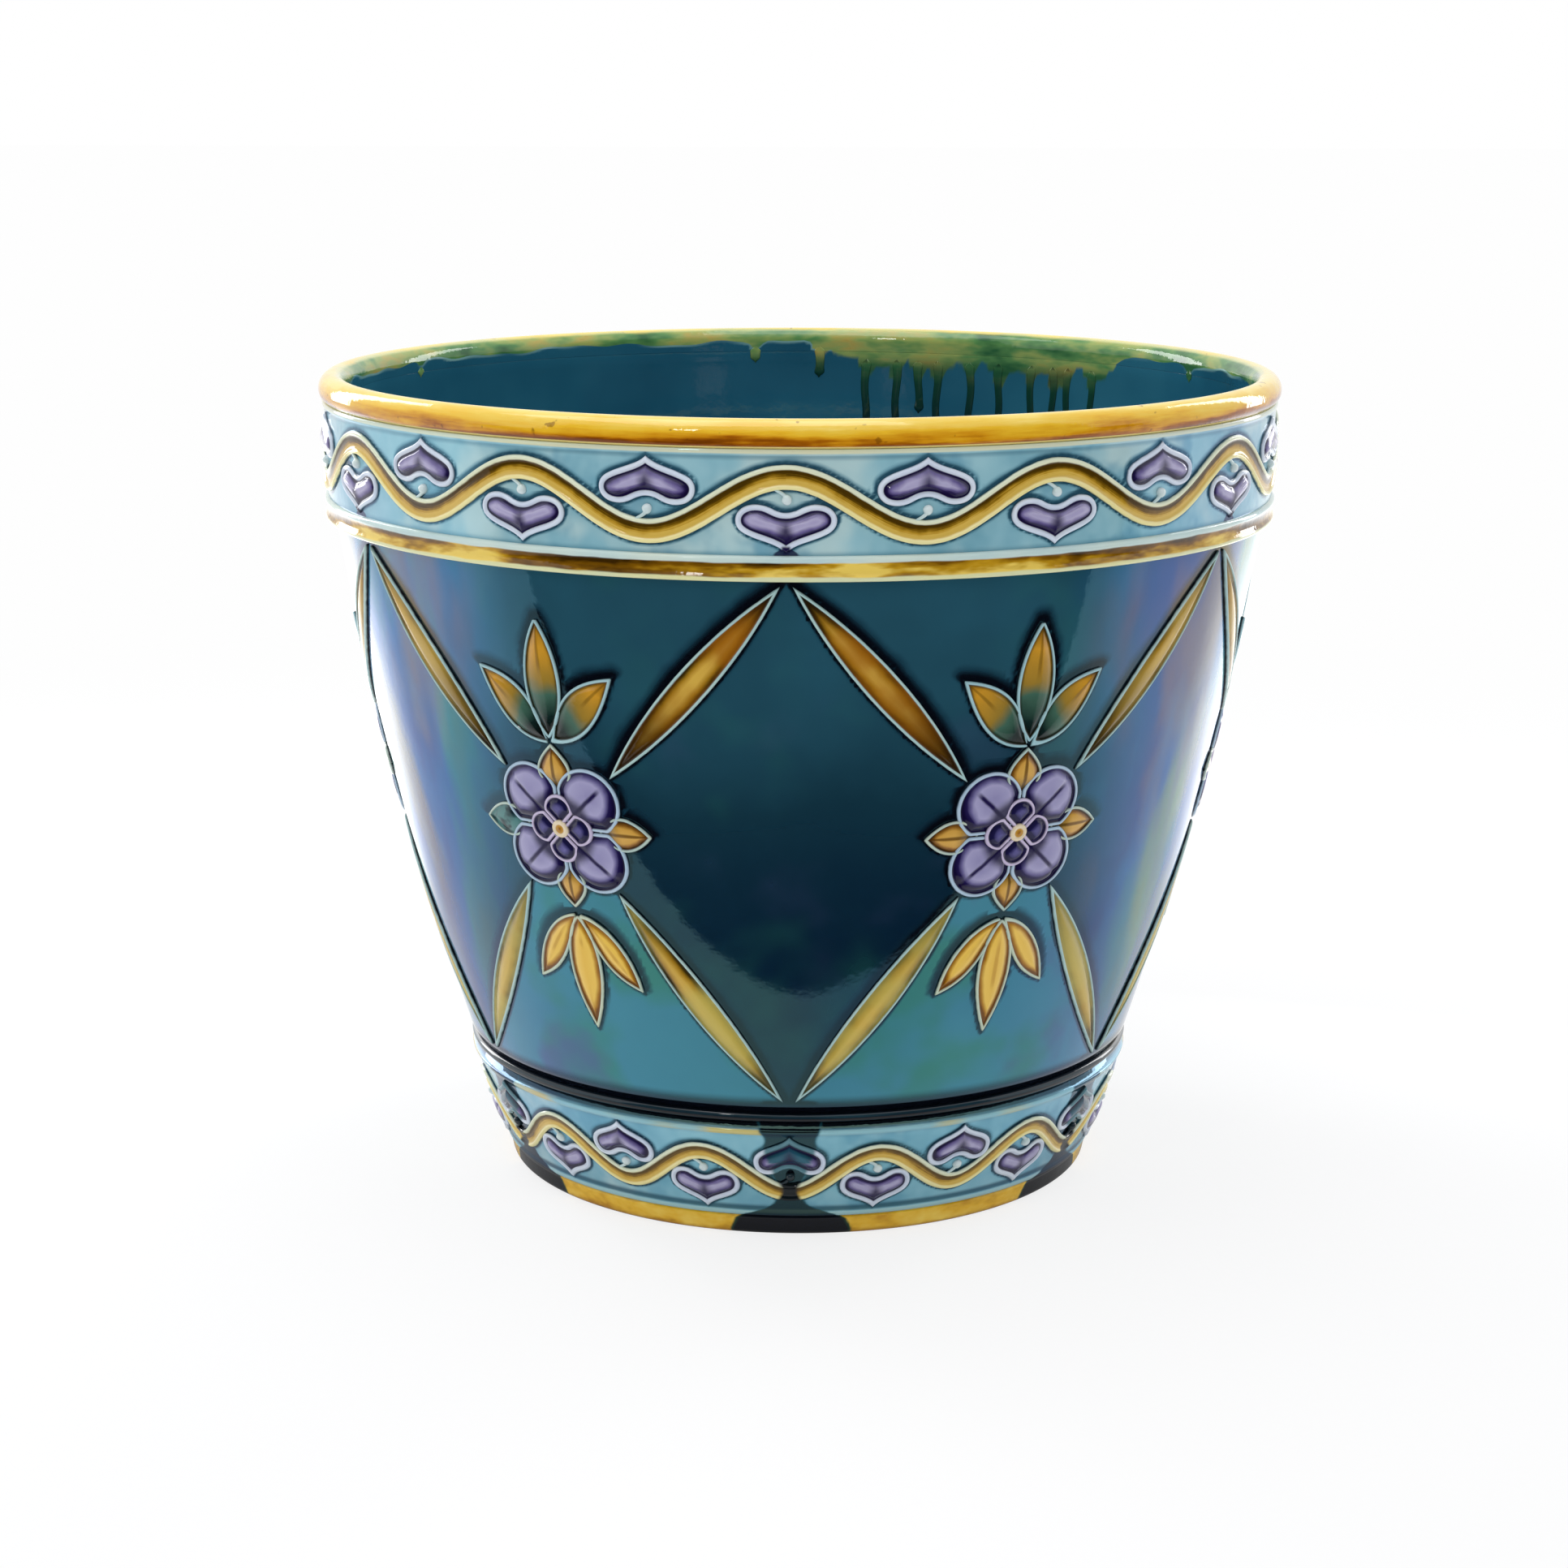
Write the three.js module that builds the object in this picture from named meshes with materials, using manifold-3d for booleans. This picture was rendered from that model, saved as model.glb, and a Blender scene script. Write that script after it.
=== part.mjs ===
// Jardiniere: a tapering planter in glazed earthenware on a foot ring, about 400 mm across its
// rim and 338 mm tall. A trellis of long leaves crosses at rosettes on its wall, and a vine with
// heart leaves runs round the band above it and the band below it.
//
// Millimetres, +Z up. The origin is the centre of the circle that the foot stands on, and the
// trellis has an apex over -Y, which is the front.

import * as THREE from "three";
import { mergeVertices } from "three/addons/utils/BufferGeometryUtils.js";
import Module from "manifold-3d";

const wasm = await Module();
wasm.setup();

// ---------------------------------------------------------------- driving dimensions

// The pot, from the table up.
const FOOT_RADIUS = 124.5; // where the foot stands
const FOOT_HEIGHT = 8.5;
const FOOT_FLARE = 2; // how much wider the foot is at its top
const FOOT_WIDTH = 14; // of the standing ring, from outside to inside
const LOWER_BAND_HEIGHT = 41;
const LOWER_BAND_FLARE = 14.6; // radius gained from the foot of the band to its top
const GROOVE_WIDTH = 3.2; // below the waist bead, and above it
const GROOVE_DEPTH = 1.8;
const BEAD_WIDTH = 3.8;
const BEAD_HEIGHT = 1.9;
const PANEL_STEP = 1.4; // how far the panel's foot stands out from the band below it
const PANEL_HEIGHT = 218.6;
const PANEL_FLARE = 51.3; // radius gained from the foot of the panel to its top
const PANEL_BULGE = 4.4; // how far the wall swells out of a straight cone
const UPPER_BAND_STEP = 2.8; // how far the upper band stands out from the panel
const UPPER_BAND_HEIGHT = 48.6;
const UPPER_BAND_FLARE = 1.4; // radius gained from the foot of the band to its top
const LIP_WIDTH = 2; // of the raised lip that borders a vine
const LIP_HEIGHT = 0.7;
const RIM_HEIGHT = 10.4;
const RIM_SHOULDER = 4; // height of the rim's straight side, under its roll
const RIM_OVERHANG = 2; // of the rolled rim over the band
const WALL_THICKNESS = 10;
const FLOOR_THICKNESS = 12;
const FLOOR_FILLET = 18; // inside, between the floor and the wall

// The moulding at the foot of the upper band: a channel between two raised lines.
const MOULDING_WIDTH = 9.6;
const MOULDING_LINE = 2.4; // width of each line
const MOULDING_HEIGHT = 1.7;
const CHANNEL_HEIGHT = 0.8;

// The relief, raised from the wall as a slip line round each glazed cell.
const LINE_WIDTH = 2.4;
const LINE_HEIGHT = 1.6;
const CELL_HEIGHT = 0.9; // of the glaze inside the line
const SEAM = 0.3; // between a piece and what it is luted to
const CLEARANCE = 1; // between two neighbouring ornaments

// The trellis and its rosettes.
const REPEATS = 6; // rosettes round the pot
const ROSETTE_RISE = 114.8; // rosette's centre above the foot of the panel
const PETAL_RADIUS = 14;
const PETAL_OUT = 13.2; // a petal's centre, sideways from the rosette's
const PETAL_UP = 12; // and above or below it
const PETAL_HEIGHT = 2.5;
const PETAL_CREASE = 0.8; // how far the fold down a petal lies below its crown
const INNER_PETAL_RADIUS = 6.5;
const INNER_PETAL_OUT = 7.8;
const INNER_PETAL_HEIGHT = 3;
const BOSS_RADIUS = 4;
const BOSS_HEIGHT = 3.4;
const SEPAL_OUT = 39; // tip of a sepal, sideways from the rosette's centre
const SEPAL_UP = 34.5; // and above or below it
const UPPER_LEAF_ANGLE = 43; // degrees above level at which a trellis leaf leaves the rosette
const LOWER_LEAF_ANGLE = 50; // and degrees below level
const TRELLIS_LEAF_WIDTH = 13;
const APEX_GAP = 3.6; // between two leaves that meet at an apex
const APEX_INSET = 1.6; // of an apex, from the edge of the panel
const CROWN_LEAF_LENGTH = 45; // the middle leaf of the spray above a rosette
const CROWN_LEAF_WIDTH = 17;
const CROWN_SIDE_LENGTH = 41;
const CROWN_SIDE_WIDTH = 13;
const CROWN_SIDE_ANGLE = 45; // degrees from upright
const DROP_LEAF_LENGTH = 51; // the middle leaf of the spray below a rosette
const DROP_LEAF_WIDTH = 15;
const DROP_SIDE_LENGTH = 39;
const DROP_SIDE_WIDTH = 14;
const DROP_SIDE_ANGLE = 38; // degrees from hanging straight

// The vine borders.
const WAVES_PER_REPEAT = 2;
const UPPER_VINE_SWING = 10.4; // from the middle of the vine to a crest
const UPPER_VINE_WIDTH = 9.4;
const UPPER_HEART_WIDTH = 37.4;
const LOWER_VINE_SWING = 9;
const LOWER_VINE_WIDTH = 8.2;
const LOWER_HEART_WIDTH = 29.4;
const HEART_INSET = 2.4; // of a heart's notch, from the middle of the vine
const HEART_HEIGHT = 2.6;
const TENDRIL_WIDTH = 2.6;
const TENDRIL_LEAN = 6; // from where it leaves the vine to the heart's notch

// Facets.
const TURNS = 48; // sides of a revolved piece
const PANEL_STEPS = 6; // up the panel
const ROLL_STEPS = 4; // over the rim
const FILLET_STEPS = 2;
const WAVE_STEPS = 8; // stations along one wave of the vine
const ROSETTE_STEPS = 24; // round a rosette: a multiple of 8, so that petals and sepals get a point
const LEAF_STEPS = 4; // along a leaf
const LOBE_STEPS = 3; // round a heart's lobe
const HEART_SIDE_STEPS = 2; // from its lobe to its tip
const TENDRIL_STEPS = 2;

// ---------------------------------------------------------------- levels and radii

const bodyFoot = FOOT_HEIGHT + SEAM;
const lowerBandTop = bodyFoot + LOWER_BAND_HEIGHT;
const beadFoot = lowerBandTop + GROOVE_WIDTH;
const beadTop = beadFoot + BEAD_WIDTH;
const panelFoot = beadTop + GROOVE_WIDTH;
const panelTop = panelFoot + PANEL_HEIGHT;
const mouldingTop = panelTop + MOULDING_WIDTH;
const bandTop = panelTop + UPPER_BAND_HEIGHT;
const rimFoot = bandTop + SEAM;
const floorTop = bodyFoot + FLOOR_THICKNESS;

const bandFootRadius = FOOT_RADIUS + FOOT_FLARE;
const lowerBandTopRadius = bandFootRadius + LOWER_BAND_FLARE;
const panelFootRadius = lowerBandTopRadius + PANEL_STEP;
const panelTopRadius = panelFootRadius + PANEL_FLARE;
const upperBandFootRadius = panelTopRadius + UPPER_BAND_STEP;
const bandTopRadius = upperBandFootRadius + UPPER_BAND_FLARE;

function between(low, high, share) {
  return low + share * (high - low);
}

// Radius of the panel's wall: a cone's, with a parabolic swell.
function panelRadius(z) {
  const share = (z - panelFoot) / PANEL_HEIGHT;
  return panelFootRadius + share * PANEL_FLARE + 4 * share * (1 - share) * PANEL_BULGE;
}

// Radius of the channel that the waist bead sits in.
function channelRadius(z) {
  const share = (z - lowerBandTop) / (panelFoot - lowerBandTop);
  return between(lowerBandTopRadius, panelFootRadius, share) - GROOVE_DEPTH;
}

// Radius of the ground of whichever band or panel a height lies in.
function wallRadius(z) {
  if (z >= panelTop) {
    return upperBandFootRadius + ((z - panelTop) / UPPER_BAND_HEIGHT) * UPPER_BAND_FLARE;
  }
  if (z >= panelFoot) return panelRadius(z);
  return bandFootRadius + ((z - bodyFoot) / LOWER_BAND_HEIGHT) * LOWER_BAND_FLARE;
}

// ---------------------------------------------------------------- solids from loops and profiles

// A piece turned about the pot's axis, from a profile of [radius, height] pairs, outside upwards.
function turned(profile) {
  const closed = profile[0][0] === 0 ? profile : [...profile, profile[0]];
  const points = closed.map(([r, z]) => new THREE.Vector2(r, z));
  const lathe = new THREE.LatheGeometry(points, TURNS).rotateX(Math.PI / 2);
  return welded(lathe);
}

function welded(geometry) {
  geometry.deleteAttribute("normal");
  geometry.deleteAttribute("uv");
  const merged = mergeVertices(geometry, 1e-3);
  const index = merged.index.array;
  const kept = [];
  for (let i = 0; i < index.length; i += 3) {
    const [a, b, c] = [index[i], index[i + 1], index[i + 2]];
    if (a !== b && b !== c && c !== a) kept.push(a, b, c);
  }
  merged.setIndex(kept);
  return merged;
}

// A closed skin over loops of points, each loop with as many points as the next. A first or last
// loop may have all its points in one place, or on one line, and so come to a point or an edge.
// Each four-sided patch is folded along the diagonal that lies further out from the pot's axis, so
// that the skin bends with the wall.
function skinned(loops, isRing = false) {
  const count = loops[0].length;
  const points = loops.flat();
  const distanceOut = (i, j) => Math.hypot(points[i].x + points[j].x, points[i].y + points[j].y);
  const faces = [];
  const spans = isRing ? loops.length : loops.length - 1;
  for (let i = 0; i < spans; i++) {
    const near = i * count;
    const far = ((i + 1) % loops.length) * count;
    for (let k = 0; k < count; k++) {
      const next = (k + 1) % count;
      const [a, b, c, d] = [near + k, near + next, far + next, far + k];
      if (distanceOut(a, c) >= distanceOut(b, d)) faces.push(a, b, c, a, c, d);
      else faces.push(a, b, d, b, c, d);
    }
  }
  const geometry = new THREE.BufferGeometry();
  const positions = points.flatMap((p) => [p.x, p.y, p.z]);
  geometry.setAttribute("position", new THREE.Float32BufferAttribute(positions, 3));
  geometry.setIndex(faces);
  return welded(geometry);
}

function joined(geometries) {
  const solids = geometries.map((geometry) => {
    const triVerts = new Uint32Array(geometry.index.array);
    const vertProperties = new Float32Array(geometry.attributes.position.array);
    return new wasm.Manifold(new wasm.Mesh({ numProp: 3, vertProperties, triVerts }));
  });
  const { vertProperties, triVerts } = wasm.Manifold.union(solids).getMesh();
  const geometry = new THREE.BufferGeometry();
  geometry.setAttribute("position", new THREE.BufferAttribute(vertProperties, 3));
  geometry.setIndex(new THREE.BufferAttribute(triVerts, 1));
  return geometry;
}

// ---------------------------------------------------------------- the pot

function vessel() {
  const lowerLipTop = bodyFoot + LIP_WIDTH;
  const upperLipFoot = bandTop - LIP_WIDTH;
  const profile = [
    [0, bodyFoot],
    [bandFootRadius + LIP_HEIGHT, bodyFoot],
    [wallRadius(lowerLipTop) + LIP_HEIGHT, lowerLipTop],
    [wallRadius(lowerLipTop + LIP_HEIGHT), lowerLipTop + LIP_HEIGHT],
    [wallRadius(lowerBandTop - LIP_WIDTH), lowerBandTop - LIP_WIDTH],
    [lowerBandTopRadius + LIP_HEIGHT, lowerBandTop],
    [channelRadius(lowerBandTop), lowerBandTop],
    [channelRadius(panelFoot), panelFoot],
  ];
  for (let i = 0; i <= PANEL_STEPS; i++) {
    const z = between(panelFoot, panelTop, i / PANEL_STEPS);
    profile.push([panelRadius(z), z]);
  }
  profile.push(
    [upperBandFootRadius, panelTop],
    [wallRadius(upperLipFoot - LIP_HEIGHT), upperLipFoot - LIP_HEIGHT],
    [wallRadius(upperLipFoot) + LIP_HEIGHT, upperLipFoot],
    [bandTopRadius + LIP_HEIGHT, bandTop],
    [bandTopRadius - WALL_THICKNESS, bandTop],
  );
  const insideSteps = PANEL_STEPS / 2;
  for (let i = 0; i <= insideSteps; i++) {
    const z = between(panelTop, panelFoot, i / insideSteps);
    profile.push([panelRadius(z) - WALL_THICKNESS, z]);
  }
  const filletRadius = wallRadius(floorTop) - WALL_THICKNESS - FLOOR_FILLET;
  for (let i = 0; i <= FILLET_STEPS; i++) {
    const angle = ((i / FILLET_STEPS) * Math.PI) / 2;
    const r = filletRadius + FLOOR_FILLET * Math.cos(angle);
    profile.push([r, floorTop + FLOOR_FILLET * (1 - Math.sin(angle))]);
  }
  profile.push([0, floorTop]);
  return turned(profile);
}

function rimRoll() {
  const inner = bandTopRadius - WALL_THICKNESS;
  const outer = bandTopRadius + RIM_OVERHANG;
  const shoulder = rimFoot + RIM_SHOULDER;
  const profile = [
    [inner, rimFoot],
    [bandTopRadius, rimFoot],
  ];
  for (let i = 0; i <= ROLL_STEPS; i++) {
    const angle = (i / ROLL_STEPS) * Math.PI;
    const r = (inner + outer) / 2 + ((outer - inner) / 2) * Math.cos(angle);
    profile.push([r, shoulder + (RIM_HEIGHT - RIM_SHOULDER) * Math.sin(angle)]);
  }
  return turned(profile);
}

function bandMoulding() {
  const crest = MOULDING_LINE / 2;
  const rises = [
    [panelTop, SEAM],
    [panelTop + crest, MOULDING_HEIGHT],
    [panelTop + MOULDING_LINE + crest, CHANNEL_HEIGHT],
    [mouldingTop - MOULDING_LINE - crest, CHANNEL_HEIGHT],
    [mouldingTop - crest, MOULDING_HEIGHT],
    [mouldingTop, SEAM],
  ];
  return turned(rises.map(([z, rise]) => [wallRadius(z) + rise, z]));
}

function waistBead() {
  const crest = BEAD_WIDTH / 4;
  const rises = [
    [beadFoot, SEAM],
    [beadFoot + crest, BEAD_HEIGHT],
    [beadTop - crest, BEAD_HEIGHT],
    [beadTop, SEAM],
  ];
  return turned(rises.map(([z, rise]) => [channelRadius(z) + rise, z]));
}

function footRing() {
  const inner = FOOT_RADIUS - FOOT_WIDTH;
  return turned([
    [inner, 0],
    [FOOT_RADIUS - SEAM, 0],
    [FOOT_RADIUS + FOOT_FLARE / 2, FOOT_HEIGHT / 4],
    [bandFootRadius, FOOT_HEIGHT],
    [inner + FOOT_FLARE, FOOT_HEIGHT],
  ]);
}

// ---------------------------------------------------------------- ornament on the wall

// A point of an ornament: across is measured along the wall from the ornament's own upright axis,
// and lift is how far the point stands out from the wall.
function onWall(axis, across, z, lift) {
  const radius = wallRadius(z);
  const angle = axis + across / radius;
  const reach = radius + lift;
  return new THREE.Vector3(reach * Math.sin(angle), -reach * Math.cos(angle), z);
}

// A leaf from its base to its tip, each a Vector2 of across and height: a slip line along both
// edges, and a cell between them. Its two edges bow out from its midrib by half its width.
function leaf(axis, base, tip, width) {
  const along = tip.clone().sub(base);
  const side = new THREE.Vector2(along.y, -along.x).normalize();
  const loops = [];
  for (let i = 0; i <= LEAF_STEPS; i++) {
    const share = i / LEAF_STEPS;
    const midrib = base.clone().addScaledVector(along, share);
    const half = 2 * width * share * (1 - share);
    const line = Math.min(LINE_WIDTH, half / 2);
    const depth = Math.min(1, half / (2 * LINE_WIDTH)) * (LINE_HEIGHT - CELL_HEIGHT);
    const at = (out, lift) =>
      onWall(axis, midrib.x + out * side.x, midrib.y + out * side.y, lift);
    loops.push([
      at(-half, SEAM),
      at(-half + line / 2, LINE_HEIGHT),
      at(0, LINE_HEIGHT - depth),
      at(half - line / 2, LINE_HEIGHT),
      at(half, SEAM),
    ]);
  }
  return skinned(loops);
}

// How far a lobe's edge lies from a flower's centre, in a given direction. The lobe is a circle,
// and where the direction misses it, its nearest point counts.
function lobeReach(angle, out, up, radius) {
  const along = out * Math.abs(Math.cos(angle)) + up * Math.abs(Math.sin(angle));
  const aside = out * Math.abs(Math.sin(angle)) - up * Math.abs(Math.cos(angle));
  return along + Math.sqrt(Math.max(0, radius * radius - aside * aside));
}

// Four petals on the diagonals, four sepals between them, and four small petals round a boss.
function rosette(axis, z) {
  const perQuarter = ROSETTE_STEPS / 4;
  const petalReach = (angle) => lobeReach(angle, PETAL_OUT, PETAL_UP, PETAL_RADIUS);
  const innerReach = (angle) =>
    Math.max(
      lobeReach(angle, INNER_PETAL_OUT, 0, INNER_PETAL_RADIUS),
      lobeReach(angle, 0, INNER_PETAL_OUT, INNER_PETAL_RADIUS),
    );
  const isSepal = (step) => step % perQuarter === 0;
  const isCrease = (step) => step % perQuarter === perQuarter / 2;
  const sepalReach = (step) => ((step / perQuarter) % 2 === 0 ? SEPAL_OUT : SEPAL_UP);
  const outline = (angle, step) => (isSepal(step) ? sepalReach(step) : petalReach(angle));
  const crownReach = (angle) => between(innerReach(angle), petalReach(angle), 0.6);
  const crownLift = (step) => PETAL_HEIGHT - (isCrease(step) ? PETAL_CREASE : 0);
  const ring = (reach, lift) => {
    const points = [];
    for (let step = 0; step < ROSETTE_STEPS; step++) {
      const angle = (step / ROSETTE_STEPS) * 2 * Math.PI;
      const r = reach(angle, step);
      points.push(onWall(axis, r * Math.cos(angle), z + r * Math.sin(angle), lift(step)));
    }
    return points;
  };
  const atCentre = () => 0;
  return skinned([
    ring(atCentre, () => 2 * SEAM),
    ring(innerReach, () => 2 * SEAM),
    ring(outline, () => SEAM),
    ring(outline, () => LINE_HEIGHT),
    ring((angle) => petalReach(angle) - LINE_WIDTH, () => LINE_HEIGHT),
    ring(crownReach, crownLift),
    ring(innerReach, () => LINE_HEIGHT),
    ring((angle) => between(BOSS_RADIUS, innerReach(angle), 0.5), () => INNER_PETAL_HEIGHT),
    ring(() => BOSS_RADIUS, () => LINE_HEIGHT),
    ring(atCentre, () => BOSS_HEIGHT),
  ]);
}

// Three leaves from one root: one upright, or hanging where rise is -1, and one to either side.
function spray(axis, root, rise, [length, width], [sideLength, sideWidth, sideAngle]) {
  const base = new THREE.Vector2(0, root);
  const middle = leaf(axis, base, new THREE.Vector2(0, root + rise * length), width);
  const sides = [-1, 1].map((side) => {
    const angle = THREE.MathUtils.degToRad(sideAngle);
    const reach = new THREE.Vector2(side * Math.sin(angle), rise * Math.cos(angle));
    return leaf(axis, base, base.clone().addScaledVector(reach, sideLength), sideWidth);
  });
  return joined([middle, ...sides]);
}

// One arm of the trellis, from beside a rosette to an apex of the lattice. Side is -1 for the arm
// on the left and 1 for the arm on the right.
function trellisLeaf(axis, rosetteHeight, side, rise) {
  const angle = THREE.MathUtils.degToRad(rise > 0 ? UPPER_LEAF_ANGLE : LOWER_LEAF_ANGLE);
  const reach = lobeReach(angle, PETAL_OUT, PETAL_UP, PETAL_RADIUS) + CLEARANCE;
  const base = new THREE.Vector2(side * reach * Math.cos(angle), rise * reach * Math.sin(angle));
  base.y += rosetteHeight;
  const apexHeight = rise > 0 ? panelTop - APEX_INSET : panelFoot + APEX_INSET;
  const apexAcross = (wallRadius(apexHeight) * Math.PI) / REPEATS - APEX_GAP / 2;
  return leaf(axis, base, new THREE.Vector2(side * apexAcross, apexHeight), TRELLIS_LEAF_WIDTH);
}

// ---------------------------------------------------------------- vine borders

// A heart leaf, from the notch between its lobes to its tip.
function heart(axis, notch, tip, width) {
  const w = width / 2;
  const h = tip - notch;
  const point = (across, down) => new THREE.Vector2(across * w, notch + down * h);
  const lobe = [point(0, 0), point(0.2, -0.24), point(1, -0.24), point(1, 0.25)];
  const side = [point(1, 0.25), point(1, 0.66), point(0.27, 0.7), point(0, 1)];
  const right = [
    ...new THREE.CubicBezierCurve(...lobe).getPoints(LOBE_STEPS).slice(0, -1),
    ...new THREE.CubicBezierCurve(...side).getPoints(HEART_SIDE_STEPS).slice(0, -1),
  ];
  const left = right.slice(1).map((p) => new THREE.Vector2(-p.x, p.y));
  const outline = [...right, point(0, 1), ...left.reverse()];
  if (h < 0) outline.reverse();
  const centre = outline.map(() => point(0, 0.35));
  const loop = (points, lift) => points.map((p) => onWall(axis, p.x, p.y, lift));
  return skinned([
    loop(centre, SEAM),
    loop(outline, SEAM),
    loop(outline, LINE_HEIGHT),
    loop(centre, HEART_HEIGHT),
  ]);
}

// A stem that curls from the vine into a heart's notch.
function tendril(axis, root, notch, into) {
  const start = new THREE.Vector2(-TENDRIL_LEAN, root);
  const end = new THREE.Vector2(0, notch + into);
  const curve = new THREE.QuadraticBezierCurve(start, new THREE.Vector2(0, root), end);
  const loops = [];
  for (let i = 0; i <= TENDRIL_STEPS; i++) {
    const share = i / TENDRIL_STEPS;
    const p = curve.getPoint(share);
    const along = curve.getTangent(share);
    const half = TENDRIL_WIDTH / 2;
    const isEnd = i === 0 || i === TENDRIL_STEPS;
    loops.push([
      onWall(axis, p.x - half * along.y, p.y + half * along.x, 2 * SEAM),
      onWall(axis, p.x, p.y, isEnd ? CELL_HEIGHT : LINE_HEIGHT),
      onWall(axis, p.x + half * along.y, p.y - half * along.x, 2 * SEAM),
    ]);
  }
  const corner = (loop) => loop.map(() => loop[0]);
  return skinned([corner(loops[0]), ...loops, corner(loops.at(-1))]);
}

// A vine that waves between the edges of a band, with a heart leaf in each of its bends. Crests
// lie over the rosettes' axes and the apexes where phase is 1, and troughs where it is -1.
function vineBorder(foot, top, phase, swing, width, heartWidth) {
  const waves = REPEATS * WAVES_PER_REPEAT;
  const middle = (foot + top) / 2;
  const stations = waves * WAVE_STEPS;
  const loops = [];
  for (let i = 0; i < stations; i++) {
    const turn = (i / stations) * 2 * Math.PI;
    const z = middle + phase * swing * Math.cos(waves * turn);
    const slope = (-phase * swing * waves * Math.sin(waves * turn)) / wallRadius(z);
    const half = width / 2;
    const at = (out, lift) => {
      const tilt = out / Math.hypot(1, slope);
      return onWall(turn, -tilt * slope, z + tilt, lift);
    };
    loops.push([
      at(half, SEAM),
      at(half - LINE_WIDTH / 2, LINE_HEIGHT),
      at(0, CELL_HEIGHT),
      at(LINE_WIDTH / 2 - half, LINE_HEIGHT),
      at(-half, SEAM),
    ]);
  }
  const pieces = [skinned(loops, true)];
  for (let i = 0; i < 2 * waves; i++) {
    const axis = (i / (2 * waves)) * 2 * Math.PI;
    const side = i % 2 === 0 ? -phase : phase; // 1 where the heart lies above the vine
    const notch = middle + side * HEART_INSET;
    const tip = side > 0 ? top - CLEARANCE : foot + CLEARANCE;
    pieces.push(heart(axis, notch, tip, heartWidth));
    pieces.push(tendril(axis, middle - side * (swing - width / 4), notch, side * LINE_WIDTH));
  }
  return joined(pieces);
}

// ---------------------------------------------------------------- assembly

const glaze = (color) =>
  new THREE.MeshStandardMaterial({ color, roughness: 0.12, metalness: 0 });
const deepTeal = glaze(0x2a6478);
const amber = glaze(0xd59a35);
const paleTurquoise = glaze(0x8fbcc6);
const lilac = glaze(0x9388bb);
const gold = glaze(0xd2a848);

const jardiniere = new THREE.Group();

function add(name, geometry, material) {
  const mesh = new THREE.Mesh(geometry, material);
  mesh.name = name;
  jardiniere.add(mesh);
}

add("vessel", vessel(), deepTeal);
add("rim_roll", rimRoll(), amber);
add("band_moulding", bandMoulding(), amber);
add("waist_bead", waistBead(), deepTeal);
add("foot_ring", footRing(), amber);

add(
  "upper_vine_border",
  vineBorder(
    mouldingTop,
    bandTop - LIP_WIDTH,
    1,
    UPPER_VINE_SWING,
    UPPER_VINE_WIDTH,
    UPPER_HEART_WIDTH,
  ),
  paleTurquoise,
);
add(
  "lower_vine_border",
  vineBorder(
    bodyFoot + LIP_WIDTH,
    lowerBandTop - LIP_WIDTH,
    -1,
    LOWER_VINE_SWING,
    LOWER_VINE_WIDTH,
    LOWER_HEART_WIDTH,
  ),
  paleTurquoise,
);

const rosetteHeight = panelFoot + ROSETTE_RISE;
const crownRoot = rosetteHeight + SEPAL_UP + CLEARANCE;
const dropRoot = rosetteHeight - SEPAL_UP - CLEARANCE;
const crownLeaf = [CROWN_LEAF_LENGTH, CROWN_LEAF_WIDTH];
const crownSide = [CROWN_SIDE_LENGTH, CROWN_SIDE_WIDTH, CROWN_SIDE_ANGLE];
const dropLeaf = [DROP_LEAF_LENGTH, DROP_LEAF_WIDTH];
const dropSide = [DROP_SIDE_LENGTH, DROP_SIDE_WIDTH, DROP_SIDE_ANGLE];

for (let i = 0; i < REPEATS; i++) {
  const axis = ((i + 0.5) / REPEATS) * 2 * Math.PI;
  const number = i + 1;
  add(`rosette_${number}`, rosette(axis, rosetteHeight), lilac);
  add(`crown_spray_${number}`, spray(axis, crownRoot, 1, crownLeaf, crownSide), gold);
  add(`drop_spray_${number}`, spray(axis, dropRoot, -1, dropLeaf, dropSide), gold);
  for (const [corner, side, rise] of [
    ["upper_left", -1, 1],
    ["upper_right", 1, 1],
    ["lower_left", -1, -1],
    ["lower_right", 1, -1],
  ]) {
    const name = `trellis_leaf_${corner}_${number}`;
    add(name, trellisLeaf(axis, rosetteHeight, side, rise), gold);
  }
}

export default jardiniere;
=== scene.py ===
"""A glazed jardiniere with moulded flowers, trellis leaves and vine borders, on a pale table."""

import math

import bpy
import numpy as np
from mathutils import Matrix, Vector
from mathutils.kdtree import KDTree


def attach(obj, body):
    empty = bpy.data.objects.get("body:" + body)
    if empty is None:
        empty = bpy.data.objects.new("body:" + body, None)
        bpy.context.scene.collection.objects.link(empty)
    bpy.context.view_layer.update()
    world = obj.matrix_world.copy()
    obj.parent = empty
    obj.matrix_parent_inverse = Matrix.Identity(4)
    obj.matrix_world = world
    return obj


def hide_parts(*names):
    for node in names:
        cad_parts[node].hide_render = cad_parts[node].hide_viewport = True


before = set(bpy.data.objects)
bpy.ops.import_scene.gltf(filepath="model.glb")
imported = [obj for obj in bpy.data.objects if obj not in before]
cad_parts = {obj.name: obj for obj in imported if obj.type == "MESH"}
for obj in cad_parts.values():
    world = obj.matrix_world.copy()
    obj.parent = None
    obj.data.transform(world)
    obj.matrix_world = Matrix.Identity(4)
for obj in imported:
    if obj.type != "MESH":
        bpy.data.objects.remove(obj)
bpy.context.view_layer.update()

# ---------------------------------------------------------------- sizes, in millimetres

MM = 0.001
REPEATS = 6
SECTOR = 2 * math.pi / REPEATS

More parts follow.
